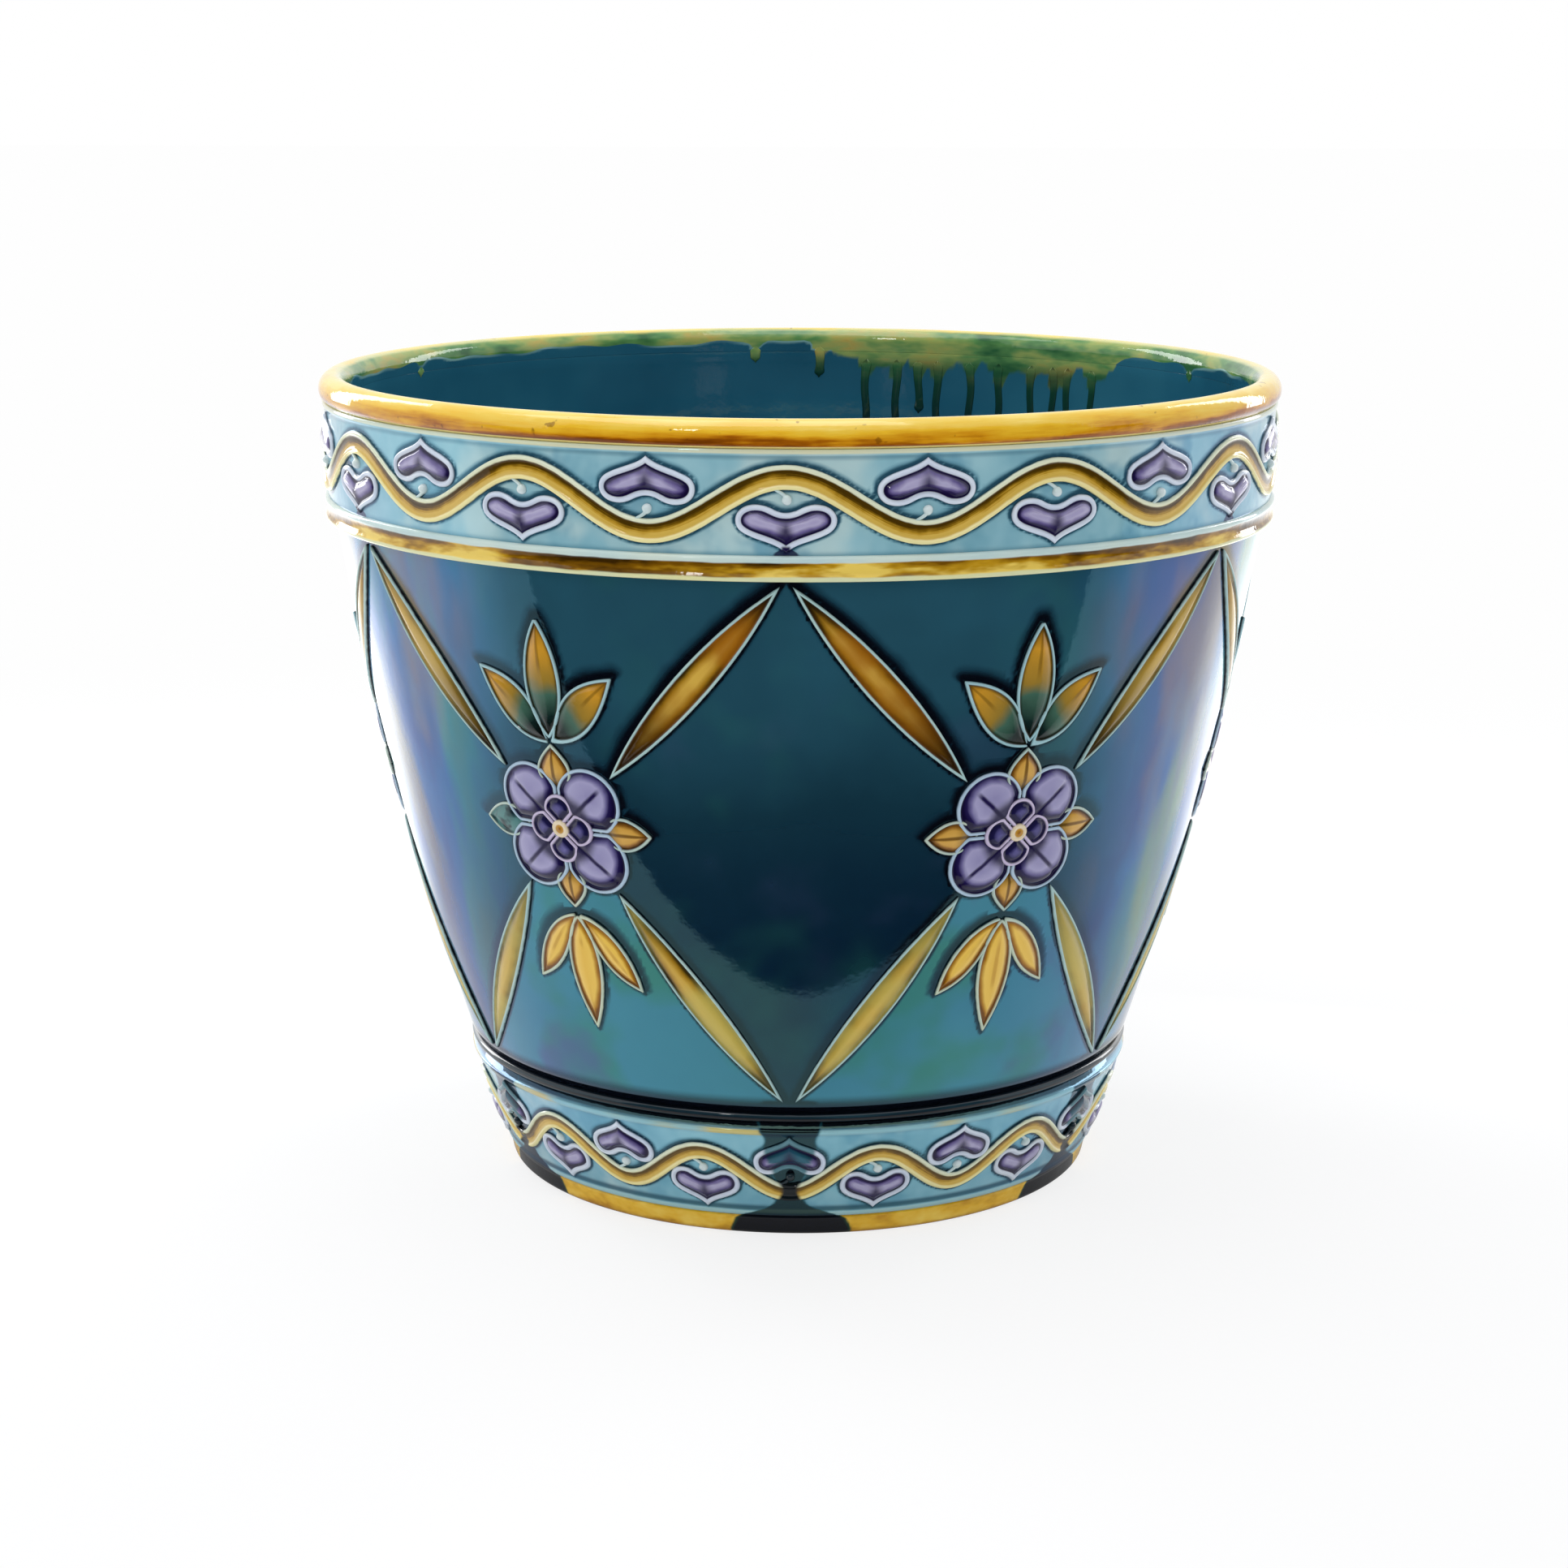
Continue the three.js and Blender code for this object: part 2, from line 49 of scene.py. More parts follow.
BODY_FOOT = 8.8
FLOOR_TOP = 20.8
LOWER_BAND_HEIGHT = 41
LOWER_BAND_TOP = 49.8
BEAD_FOOT = 53
BEAD_TOP = 56.8
BEAD_MIDDLE = (BEAD_FOOT + BEAD_TOP) / 2
PANEL_FOOT = 60
PANEL_HEIGHT = 218.6
PANEL_TOP = 278.6
UPPER_BAND_HEIGHT = 48.6
BAND_TOP = 327.2
RIM_FOOT = 327.5
RIM_TOP = 337.9

FOOT_RADIUS = 124.5
FOOT_WIDTH = 14
BAND_FOOT_RADIUS = 126.5
LOWER_FLARE = 14.6
LOWER_BAND_TOP_RADIUS = BAND_FOOT_RADIUS + LOWER_FLARE
PANEL_FOOT_RADIUS = 142.5
PANEL_FLARE = 51.3
PANEL_BULGE = 4.4
UPPER_FOOT_RADIUS = 196.6
UPPER_FLARE = 1.4
BAND_TOP_RADIUS = UPPER_FOOT_RADIUS + UPPER_FLARE
RIM_OUTER = 200
INSIDE_TOP = 188
WALL_THICKNESS = 10
FILLET = 18
GROOVE_DEPTH = 1.8
LIP_WIDTH = 2
LIP_HEIGHT = 0.7
OUTER_SKIN = 4.5  # thickness of the wall's glazed side
RING_COLUMNS = 480

ROSETTE_Z = 174.8
PETAL_OUT = 13.2
PETAL_UP = 12
PETAL_RADIUS = 14
INNER_OUT = 7.6
INNER_RADIUS = 6.7
BOSS_RADIUS = 3.9
TRELLIS_WIDTH = 13.2
UPPER_LEAF_ANGLE = math.radians(43)
LOWER_LEAF_ANGLE = math.radians(50)
APEX_GAP = 3.6
APEX_INSET = 1.6

WAVES = 12
VINE_STATIONS = 864
SUNK = -0.5  # how far the underside of a relief lies in the wall


def panel_radius(z):
    share = (z - PANEL_FOOT) / PANEL_HEIGHT
    return PANEL_FOOT_RADIUS + PANEL_FLARE * share + 4 * share * (1 - share) * PANEL_BULGE


def upper_radius(z):
    return UPPER_FOOT_RADIUS + (z - PANEL_TOP) / UPPER_BAND_HEIGHT * UPPER_FLARE


def lower_radius(z):
    return BAND_FOOT_RADIUS + (z - BODY_FOOT) / LOWER_BAND_HEIGHT * LOWER_FLARE


def channel_radius(z):
    share = (z - LOWER_BAND_TOP) / (PANEL_FOOT - LOWER_BAND_TOP)
    wide = PANEL_FOOT_RADIUS - LOWER_BAND_TOP_RADIUS
    return LOWER_BAND_TOP_RADIUS + share * wide - GROOVE_DEPTH


def wall_radius(z):
    z = np.asarray(z, float)
    body = np.where(z >= PANEL_FOOT, panel_radius(z), lower_radius(z))
    return np.where(z >= PANEL_TOP, upper_radius(z), body)


def on_wall(axis, across, z, lift):
    """Points on the wall, across from an upright axis at an angle, standing out by lift."""
    radius = wall_radius(z)
    angle = axis + across / radius
    reach = radius + lift
    across, z, lift = np.broadcast_arrays(across, np.asarray(z, float), lift)
    return np.stack([reach * np.sin(angle), -reach * np.cos(angle), z], -1)


def eased(low, high, value):
    """0 below low, 1 above high, and a smooth step between them."""
    share = np.clip((np.asarray(value, float) - low) / (high - low), 0, 1)
    return share * share * (3 - 2 * share)


# ---------------------------------------------------------------- skins and meshes


def outward(points, quads, fans):
    triangles = np.concatenate([quads[:, [0, 1, 2]], quads[:, [0, 2, 3]], fans])
    a, b, c = (points[triangles[:, i], :3] for i in range(3))
    if np.sum(a * np.cross(b, c)) < 0:
        return points, quads[:, ::-1], fans[:, ::-1]
    return points, quads, fans


def skin(loops, is_ring=False, ends=None):
    """A closed skin over rows of points with their marks; an open row of loops gets a fan at each end."""
    loops = np.asarray(loops, float)
    rows, count, width = loops.shape
    points = loops.reshape(-1, width)
    here = np.arange(rows * count).reshape(rows, count)
    beside = np.roll(here, -1, axis=1)
    spans = rows if is_ring else rows - 1
    above = np.roll(here, -1, axis=0)[:spans]
    across = np.roll(beside, -1, axis=0)[:spans]
    quads = np.stack([here[:spans], beside[:spans], across, above], -1).reshape(-1, 4)
    fans = np.empty((0, 3), int)
    if not is_ring:
        if ends is None:
            ends = [loops[0].mean(0), loops[-1].mean(0)]
        points = np.concatenate([points, np.asarray(ends, float)])
        first = np.full(count, rows * count)
        foot = np.stack([first, beside[0], here[0]], -1)
        head = np.stack([first + 1, here[-1], beside[-1]], -1)
        fans = np.concatenate([foot, head])
    return outward(points, quads, fans)


def gathered(skins):
    points, quads, fans = [], [], []
    start = 0
    for skin_points, skin_quads, skin_fans in skins:
        points.append(skin_points)
        quads.append(skin_quads + start)
        fans.append(skin_fans + start)
        start += len(skin_points)
    return np.concatenate(points), np.concatenate(quads), np.concatenate(fans)


def mesh_of(name, skins, marks):
    points, quads, fans = gathered(skins)
    mesh = bpy.data.meshes.new(name)
    corners = np.concatenate([quads.ravel(), fans.ravel()]).astype(np.int32)
    quad_starts = np.arange(len(quads)) * 4
    fan_starts = len(quads) * 4 + np.arange(len(fans)) * 3
    starts = np.concatenate([quad_starts, fan_starts]).astype(np.int32)
    mesh.vertices.add(len(points))
    mesh.vertices.foreach_set("co", (points[:, :3] * MM).astype(np.float32).ravel())
    mesh.loops.add(len(corners))
    mesh.loops.foreach_set("vertex_index", corners)
    mesh.polygons.add(len(starts))
    mesh.polygons.foreach_set("loop_start", starts)
    mesh.update(calc_edges=True)
    for i, mark in enumerate(marks):
        values = mesh.attributes.new(mark, "FLOAT", "POINT")
        values.data.foreach_set("value", points[:, 3 + i].astype(np.float32))
    mesh.shade_smooth()
    return mesh


def piece_of(name, mesh, material, slot, *nodes):
    """One finished piece of the pot, riding on the body, in place of the named CAD nodes."""
    mesh.materials.clear()
    mesh.materials.append(material)
    piece = bpy.data.objects.new(name, mesh)
    bpy.context.collection.objects.link(piece)
    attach(piece, "root")
    if nodes:
        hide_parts(*nodes)
    return piece


def ring_tree():
    """Sets copies of a motif round the pot's axis, each turned on from the last by an equal share."""
    tree = bpy.data.node_groups.new("ring_of_motifs", "GeometryNodeTree")
    sockets = tree.interface
    sockets.new_socket("Motif", in_out="INPUT", socket_type="NodeSocketGeometry")
    sockets.new_socket("Count", in_out="INPUT", socket_type="NodeSocketInt")
    sockets.new_socket("Turn", in_out="INPUT", socket_type="NodeSocketFloat")
    sockets.new_socket("Glaze", in_out="INPUT", socket_type="NodeSocketMaterial")
    sockets.new_socket("Ring", in_out="OUTPUT", socket_type="NodeSocketGeometry")
    add = tree.nodes.new
    link = tree.links.new
    given = add("NodeGroupInput")
    line = add("GeometryNodeMeshLine")
    line.inputs["Offset"].default_value = (0, 0, 0)
    index = add("GeometryNodeInputIndex")
    turn = add("ShaderNodeMath")
    turn.operation = "MULTIPLY"
    turned = add("ShaderNodeCombineXYZ")
    copies = add("GeometryNodeInstanceOnPoints")
    solid = add("GeometryNodeRealizeInstances")
    glaze = add("GeometryNodeSetMaterial")
    result = add("NodeGroupOutput")
    link(given.outputs["Count"], line.inputs["Count"])
    link(index.outputs["Index"], turn.inputs[0])
    link(given.outputs["Turn"], turn.inputs[1])
    link(turn.outputs[0], turned.inputs["Z"])
    link(line.outputs["Mesh"], copies.inputs["Points"])
    link(given.outputs["Motif"], copies.inputs["Instance"])
    link(turned.outputs[0], copies.inputs["Rotation"])
    link(copies.outputs[0], solid.inputs[0])
    link(solid.outputs[0], glaze.inputs["Geometry"])
    link(given.outputs["Glaze"], glaze.inputs["Material"])
    link(glaze.outputs[0], result.inputs["Ring"])
    return tree


def ring_of(mesh, material, count=REPEATS):
    """A plain mesh of a motif's copies round the pot."""
    holder = bpy.data.objects.new(mesh.name + "_motif", mesh)
    bpy.context.collection.objects.link(holder)
    modifier = holder.modifiers.new("ring", "NODES")
    modifier.node_group = RING_TREE
    given = {item.name: item.identifier for item in RING_TREE.interface.items_tree}
    modifier[given["Count"]] = count
    modifier[given["Turn"]] = 2 * math.pi / count
    modifier[given["Glaze"]] = material
    view = bpy.context.evaluated_depsgraph_get()
    made = bpy.data.meshes.new_from_object(holder.evaluated_get(view), depsgraph=view)
    holder.modifiers.remove(modifier)
    bpy.data.objects.remove(holder)
    made.name = mesh.name + "_ring"
    return made


RING_TREE = ring_tree()

# ---------------------------------------------------------------- outlines of the ornament


def bezier(controls, steps):
    """Points of a cubic curve, from its four controls."""
    a, b, c, d = (np.asarray(p, float) for p in controls)
    t = np.linspace(0, 1, steps + 1)[:, None]
    s = 1 - t
    return s**3 * a + 3 * s * s * t * b + 3 * s * t * t * c + t**3 * d


def evenly(points, count):
    """The same line with its points evenly spaced, apart from closer ones at its two ends."""
    steps = np.hypot(*np.diff(points, axis=0).T)
    length = np.concatenate([[0], np.cumsum(steps)])
    share = np.linspace(0, math.pi, count)
    spread = 0.5 - 0.5 * np.cos(share)
    wanted = (0.65 * np.linspace(0, 1, count) + 0.35 * spread) * length[-1]
    return np.stack([np.interp(wanted, length, points[:, i]) for i in range(2)], -1)


def flipped(controls):
    return np.array(controls, float) * (-1, 1)


def leaf_edges(controls):
    """Both edges of a leaf that is even about its upright midrib, from its right edge's controls."""
    return flipped(controls), controls


def mirrored(edges):
    """The edges of the leaf on the other side of the axis."""
    return flipped(edges[1]), flipped(edges[0])


def crown_leaves():
    middle = leaf_edges([(0, 211), (10.5, 222), (11.5, 243), (0.4, 259.6)])
    outer = [(0, 209.3), (13, 209), (23, 216), (31, 238.5)]
    inner = [(1.2, 211.5), (4.5, 228), (12, 236.5), (31, 238.5)]
    return [(inner, outer), mirrored((inner, outer)), middle]


def drop_leaves():
    middle = leaf_edges([(0, 138.4), (7.8, 132), (12, 112), (0, 88.1)])
    outer = [(0.6, 138.9), (13, 137.5), (23, 124), (24.5, 107.3)]
    inner = [(0.6, 137), (6.5, 123), (8.8, 113.5), (24.5, 107.3)]
    return [(inner, outer), mirrored((inner, outer)), middle]


def sepals():
    z = ROSETTE_Z
    top = leaf_edges([(0, z + 14.5), (11.4, z + 20.5), (9.6, z + 26.5), (0, z + 35)])
    bottom = leaf_edges([(0, z - 14.5), (10.4, z - 21), (8.4, z - 26.5), (0, z - 33.8)])
    under = [(16, z), (22, z - 10), (31, z - 9.4), (39, z)]
    over = [(16, z), (22, z + 10), (31, z + 9.4), (39, z)]
    return [top, bottom, (under, over), mirrored((under, over))]


def petal_reach(angle):
    along = PETAL_OUT * abs(math.cos(angle)) + PETAL_UP * abs(math.sin(angle))
    aside = PETAL_OUT * abs(math.sin(angle)) - PETAL_UP * abs(math.cos(angle))
    return along + math.sqrt(max(0, PETAL_RADIUS**2 - aside**2))


def trellis_ends(side, rise):
    """Where one arm of the trellis begins beside a rosette, and the apex of the lattice it runs to."""
    angle = UPPER_LEAF_ANGLE if rise > 0 else LOWER_LEAF_ANGLE
    reach = petal_reach(angle) + 0.4
    base = np.array([side * reach * math.cos(angle), ROSETTE_Z + rise * reach * math.sin(angle)])
    height = PANEL_TOP - APEX_INSET if rise > 0 else PANEL_FOOT + APEX_INSET
    across = float(wall_radius(height)) * math.pi / REPEATS - APEX_GAP / 2
    return base, np.array([side * across, height])


def trellis_edges(side, rise):
    base, apex = trellis_ends(side, rise)
    along = apex - base
    out = np.array([along[1], -along[0]]) / np.hypot(*along) * TRELLIS_WIDTH / 2 * 4 / 3
    edges = []
    for turn in (-1, 1):
        bow = out * turn
        edges.append([base, base + 0.3 * along + bow, base + 0.7 * along + bow, apex])
    return edges


def heart_outline(notch, tip, width):
    w = width / 2
    h = tip - notch

    def at(across, down):
        return (across * w, notch + down * h)

    notch_curve = bezier([at(0, 0), at(0.24, 0), at(0.3, -0.19), at(0.56, -0.2)], 12)
    lobe = bezier([at(0.56, -0.2), at(0.84, -0.21), at(1, -0.02), at(1, 0.2)], 14)
    side = bezier([at(1, 0.2), at(1, 0.68), at(0.3, 0.64), at(0, 1)], 24)
    right = np.concatenate([notch_curve[:-1], lobe[:-1], side])
    left = right[1:-1][::-1] * (-1, 1)
    return np.concatenate([right, left])


def rays(count):
    """Directions spread evenly over a full turn."""
    angle = np.linspace(0, 2 * math.pi, count, endpoint=False)
    return np.stack([np.cos(angle), np.sin(angle)], -1)


def petal_outline(count=120):
    """One petal, in the quarter between the flower's upright and level lines."""
    centre = np.array([PETAL_OUT, PETAL_UP])
    ray = rays(count)
    reach = np.full(count, float(PETAL_RADIUS))
    for i in range(2):
        inward = ray[:, i] < -1e-6
        limit = (centre[i] - 0.05) / np.where(inward, -ray[:, i], 1)
        reach = np.where(inward, np.minimum(reach, limit), reach)
    return centre + ray * reach[:, None]


def inner_petal_outline(turn, count=72):
    """One of the four small petals, which meet on the diagonals."""
    ray = rays(count)
    reach = np.full(count, float(INNER_RADIUS))
    for side in (-1, 1):
        facing = (ray[:, 1] * side - ray[:, 0]) / math.sqrt(2)
        limit = (INNER_OUT / math.sqrt(2) - 0.05) / np.where(facing > 1e-6, facing, 1)
        reach = np.where(facing > 1e-6, np.minimum(reach, limit), reach)
    shape = ray * reach[:, None] + (INNER_OUT, 0)
    c, s = math.cos(turn), math.sin(turn)
    return shape @ np.array([[c, s], [-s, c]])


# ---------------------------------------------------------------- relief


def run_depth(angle, z):
    """How far the dark glaze covers the pot, where it ran down from each foot of the lattice."""
    sector = np.mod(np.asarray(angle, float) + SECTOR / 2, SECTOR) - SECTOR / 2
    across = np.abs(sector) * wall_radius(z)
    z = np.asarray(z, float)
    sway = 1.2 * np.sin(z * 0.21) + 0.9 * np.sin(z * 0.47 + 1)
    heart = 3.6 * eased(26, 36, z) + 4 * eased(43, 50, z)
    narrow = 4.6 + sway + heart + 17 * eased(15, 6, z)
    return (1 - eased(narrow - 3, narrow + 4, across)) * (1 - eased(60, 66, z))


def relief_loop(axis, across, z, lift, marks):
    """A row of points on the wall, with their marks and how far the dark glaze covers them."""
    run = run_depth(axis + across / wall_radius(z), z)[:, None]
    return np.concatenate([on_wall(axis, across, z, lift), marks, run], -1)


def relief_loops(axis, outlines, lifts, marks):
    rows = zip(outlines, lifts, marks)
    return [relief_loop(axis, line[:, 0], line[:, 1], lift, mark) for line, lift, mark in rows]


def lift_of(inset, heights):
    """How far the relief stands out, at a distance in from its edge."""
    return np.interp(inset, *zip(*heights))


def cell(axis, centre, outline, heights, insets, crease=None, groove=0.6):
    """A raised cell about a centre: rows at equal distances in from its outline, and then its middle.

    Its marks are the distance in from the outline, the height within the cell, and the distances
    from a crease across it and from the rosette's centre.
    """
    centre = np.asarray(centre, float)
    shares = np.linspace(1, 0, 61)
    rays = centre + (outline - centre) * shares[:, None, None]
    wall = np.concatenate([outline, (outline + np.roll(outline, -1, axis=0)) / 2])
    away = np.linalg.norm(rays[:, :, None] - wall, axis=-1).min(-1)
    away[0] = 0
    deepest = np.maximum.accumulate(away, axis=0)
    rows, depths = [], []
    count = len(outline)
    for inset in insets:
        wanted = np.minimum(inset, 0.98 * deepest[-1])
        share = np.array([np.interp(wanted[i], deepest[:, i], shares) for i in range(count)])
        rows.append(centre + (outline - centre) * share[:, None])
        depths.append(np.full(count, 1.0) * wanted)
    rows.append(centre + (rows[-1] - centre) * 0.4)
    depths.append(0.6 * depths[-1] + 0.4 * deepest[-1])
    low, high = outline[:, 1].min(), outline[:, 1].max()
    lifts, marks = [], []
    for row, depth in zip(rows, depths):
        rise = 2 * (row[:, 1] - low) / (high - low) - 1
        fold = np.full(count, 9.0) if crease is None else np.abs((row - crease[0]) @ crease[1])
        lift = lift_of(depth, heights)
        if crease is not None:
            lift = lift - groove * (1 - eased(0, 2.4, fold)) * eased(2.0, 3.2, depth)
        lifts.append(lift)
        root = np.hypot(row[:, 0], row[:, 1] - ROSETTE_Z)
        marks.append(np.stack([depth, rise, fold, root], -1))
    under = np.full(count, SUNK)
    loops = relief_loops(axis, [rows[0]] + rows, [under] + lifts, [marks[0]] + marks)
    ends = [loops[0].mean(0), loops[-1].mean(0)]
    ends[1][5] = 9.0 if crease is None else 0
    return skin(loops, ends=ends)


def leaf(axis, edges, heights, insets, stations=26, low_base=0.0):
    """A raised leaf between two edges: marks are the distance in from the edge, the share of its
    length from base to tip, and which side of its midrib a point is on."""
    left, right = (evenly(bezier(edge, 60), stations) for edge in edges)
    left_normal = leaf_sides(left, right)
    rows, lifts, marks = [], [], []
    for i in range(1, stations - 1):
        a, b = left[i], right[i]
        half = np.hypot(*(b - a)) / 2
        slant = left_normal[i]
        full = half * slant
        steps = len(insets) - 1
        depth = np.array([min(inset, full * j / steps) for j, inset in enumerate(insets)])
        depth[-1] = full
        share = depth / full / 2
        from_left = a + (b - a) * share[:, None]
        from_right = b + (a - b) * share[:-1][::-1, None]
        row = np.concatenate([from_left, from_right, [(a + b) / 2]])
        inset = np.concatenate([depth, depth[:-1][::-1], [0]])
        side = np.concatenate([share * 2 - 1, (1 - share[:-1] * 2)[::-1], [0]])
        share_along = i / (stations - 1)
        lift = lift_of(inset, heights) * (1 - low_base * (1 - eased(0.25, 0.42, share_along)))
        lift[-1] = SUNK
        along = np.full(len(row), share_along)
        rows.append(row)
        lifts.append(lift)
        marks.append(np.stack([inset, along, side, along], -1))
    return skin(relief_loops(axis, rows, lifts, marks))


def leaf_sides(left, right):
    """How much nearer a leaf's edge lies than its cross-section is wide, at each station."""
    across = right - left
    across = across / np.maximum(np.hypot(*across.T), 1e-6)[:, None]
    tangent = np.gradient(left, axis=0) + np.gradient(right, axis=0)
    tangent = tangent / np.maximum(np.hypot(*tangent.T), 1e-6)[:, None]
    edge = np.gradient(left, axis=0)
    edge = edge / np.maximum(np.hypot(*edge.T), 1e-6)[:, None]
    return np.clip(np.abs(edge[:, 0] * across[:, 1] - edge[:, 1] * across[:, 0]), 0.45, 1)


RELIEF_MARKS = ("inset", "along", "side", "root", "run")
CELL_INSETS = (0, 0.3, 0.7, 1.1, 1.5, 1.9, 2.3, 2.7, 3.2, 3.9, 4.8, 6.2)
SMALL_INSETS = (0, 0.25, 0.55, 0.85, 1.15, 1.45, 1.8, 2.3, 3, 4)
LEAF_INSETS = (0, 0.25, 0.55, 0.85, 1.15, 1.5, 1.95, 2.8, 4.2, 6)

HEART_HEIGHTS = ((0, 0), (0.3, 0.75), (0.7, 1.35), (1.15, 1.6), (1.6, 1.45), (2.1, 0.85), (2.6, 0.55),
                 (3.2, 1.0), (4, 1.6), (5, 2.1), (7, 2.55), (10, 2.6))
PETAL_HEIGHTS = ((0, 0), (0.3, 0.8), (0.6, 1.4), (0.95, 1.55), (1.3, 1.35), (1.75, 0.8), (2.3, 0.6),
                 (3.2, 1.2), (4.2, 1.9), (5.5, 2.3), (7.5, 2.5), (12, 2.4))
INNER_HEIGHTS = ((0, 0.9), (0.25, 1.7), (0.6, 2.4), (0.95, 2.6), (1.3, 2.4), (1.8, 1.6), (2.3, 1.5),
                 (3.0, 2.1), (4, 2.5), (7, 2.7))
BOSS_HEIGHTS = ((0, 1.3), (0.3, 2.6), (0.8, 3.15), (1.4, 3.2), (1.9, 2.9), (2.5, 2.7), (3.2, 3.0),
                (4, 3.3))
LEAF_HEIGHTS = ((0, 0), (0.25, 0.75), (0.55, 1.35), (0.85, 1.5), (1.15, 1.3), (1.5, 0.75), (1.95, 0.5),
                (2.9, 1.0), (4.5, 1.5), (6, 1.75), (9, 1.9))


def vine_loops(middle, phase, swing, width):
    """A vine waving round the pot: marks are the distance in from its edge, and the height across it
    from -1 below to 1 above."""
    insets = np.array([0, 0.3, 0.7, 1.1, 1.5, 1.9, 2.3, 2.8, 3.5, width / 2])
    out = np.concatenate([width / 2 - insets, insets[:-1][::-1] - width / 2, [0]])
    inset = np.concatenate([insets, insets[:-1][::-1], [0]])
    heights = ((0, 0), (0.3, 0.8), (0.7, 1.45), (1.1, 1.65), (1.5, 1.5), (1.9, 1.1), (2.3, 0.8),
               (2.8, 0.62), (3.5, 0.6), (width / 2, 0.7))
    lift = lift_of(inset, heights)
    lift[-1] = SUNK
    loops = []
    for i in range(VINE_STATIONS):
        turn = i / VINE_STATIONS * 2 * math.pi
        z = middle + phase * swing * math.cos(WAVES * turn)
        radius = float(wall_radius(z))
        slope = -phase * swing * WAVES * math.sin(WAVES * turn) / radius
        tilt = out / math.hypot(1, slope)
        heights_here = z + tilt
        across = -tilt * slope
        points = on_wall(turn, across, heights_here, lift)
        angle = turn + across / radius
        run = run_depth(angle, heights_here)
        plain_marks = np.zeros(len(out))
        marks = np.stack([inset, out / width * 2, plain_marks, plain_marks, run], -1)
        loops.append(np.concatenate([points, marks], -1))
    return loops


TENDRIL_PATH = ((-4.8, -0.2), (-2.6, 1.6), (0.3, 1.2), (0.5, 6.0))  # across, and off the vine
BUD_RADIUS = 1.9


def tendril(axis, root, side):
    """A stem that leaves the vine, hooks round towards a heart and ends in a round bud."""
    path = evenly(bezier(TENDRIL_PATH, 80), 24)
    length = np.concatenate([[0], np.hypot(*np.diff(path, axis=0).T).cumsum()])
    heading = np.gradient(path, axis=0)
    loops = []
    for point, along, here in zip(path, heading, length):
        share = here / length[-1]
        across_bud = BUD_RADIUS**2 - (here - length[-1] + BUD_RADIUS) ** 2
        half = max(0.45 + 0.55 * share, math.sqrt(max(0.0, across_bud)))
        if share == 1:
            half = 0.3
        along = along / np.hypot(*along)
        beside, above = rays(12).T
        out = half * beside
        lift = 0.6 + 1.05 * half * above
        across = point[0] - out * along[1]
        height = root + side * (point[1] + out * along[0])
        ones = np.ones(len(out))
        marks = np.stack([ones, share * ones, out / half, ones], -1)
        loops.append(relief_loop(axis, across, height, lift, marks))
    return skin(loops)


BORDERS = {
    "upper": dict(middle=306.7, phase=1, swing=10.4, width=9.5, heart=37.4, foot=289.2, top=324.2),
    "lower": dict(middle=29.3, phase=-1, swing=9, width=8.2, heart=29.4, foot=11.8, top=46.8),
}


def border_hearts(border):
    """The axis, notch height, tip height and side of each heart in one sector of a border."""
    hearts = []
    for i in range(2 * WAVES // REPEATS):
        axis = i / (2 * WAVES) * 2 * math.pi
        side = -border["phase"] if i % 2 == 0 else border["phase"]
        notch = border["middle"] + side * 2.4
        tip = border["top"] if side > 0 else border["foot"]
        hearts.append((axis, notch, tip, side))
    return hearts


def heart_cells(border):
    skins = []
    for axis, notch, tip, _ in border_hearts(border):
        outline = heart_outline(notch, tip, border["heart"])
        centre = (0, notch + 0.36 * (tip - notch))
        middle = (centre, np.array([1.0, 0.0]))
        skins.append(cell(axis, centre, outline, HEART_HEIGHTS, CELL_INSETS, middle, 0.1))
    return skins


def tendrils(border):
    skins = []
    for axis, _, _, side in border_hearts(border):
        root = border["middle"] - side * (border["swing"] - border["width"] / 2 + 0.6)
        skins.append(tendril(axis, root, side))
    return skins


ROSETTE_AXIS = SECTOR / 2


def rosette_petals():
    skins = []
    for side in (-1, 1):
        for rise in (-1, 1):
            flip = np.array([side, rise])
            outline = petal_outline() * flip + (0, ROSETTE_Z)
            centre = np.array([PETAL_OUT, PETAL_UP]) * flip + (0, ROSETTE_Z)
            aside = np.array([PETAL_UP, -PETAL_OUT]) * flip / math.hypot(PETAL_OUT, PETAL_UP)
            crease = (centre, aside)
            skins.append(cell(ROSETTE_AXIS, centre, outline, PETAL_HEIGHTS, CELL_INSETS, crease))
    return skins


def rosette_inner_petals():
    skins = []
    for i in range(4):
        turn = i * math.pi / 2
        outline = inner_petal_outline(turn) + (0, ROSETTE_Z)
        centre = np.array([math.cos(turn), math.sin(turn)]) * (INNER_OUT + 0.8) + (0, ROSETTE_Z)
        skins.append(cell(ROSETTE_AXIS, centre, outline, INNER_HEIGHTS, SMALL_INSETS))
    return skins


def rosette_boss():
    outline = rays(40) * BOSS_RADIUS + (0, ROSETTE_Z)
    return [cell(ROSETTE_AXIS, (0, ROSETTE_Z), outline, BOSS_HEIGHTS, SMALL_INSETS)]


def leaves_of(all_edges, stations=26, low_base=0.0):
    sizes = (LEAF_HEIGHTS, LEAF_INSETS, stations, low_base)
    return [leaf(ROSETTE_AXIS, edges, *sizes) for edges in all_edges]


# ---------------------------------------------------------------- walls


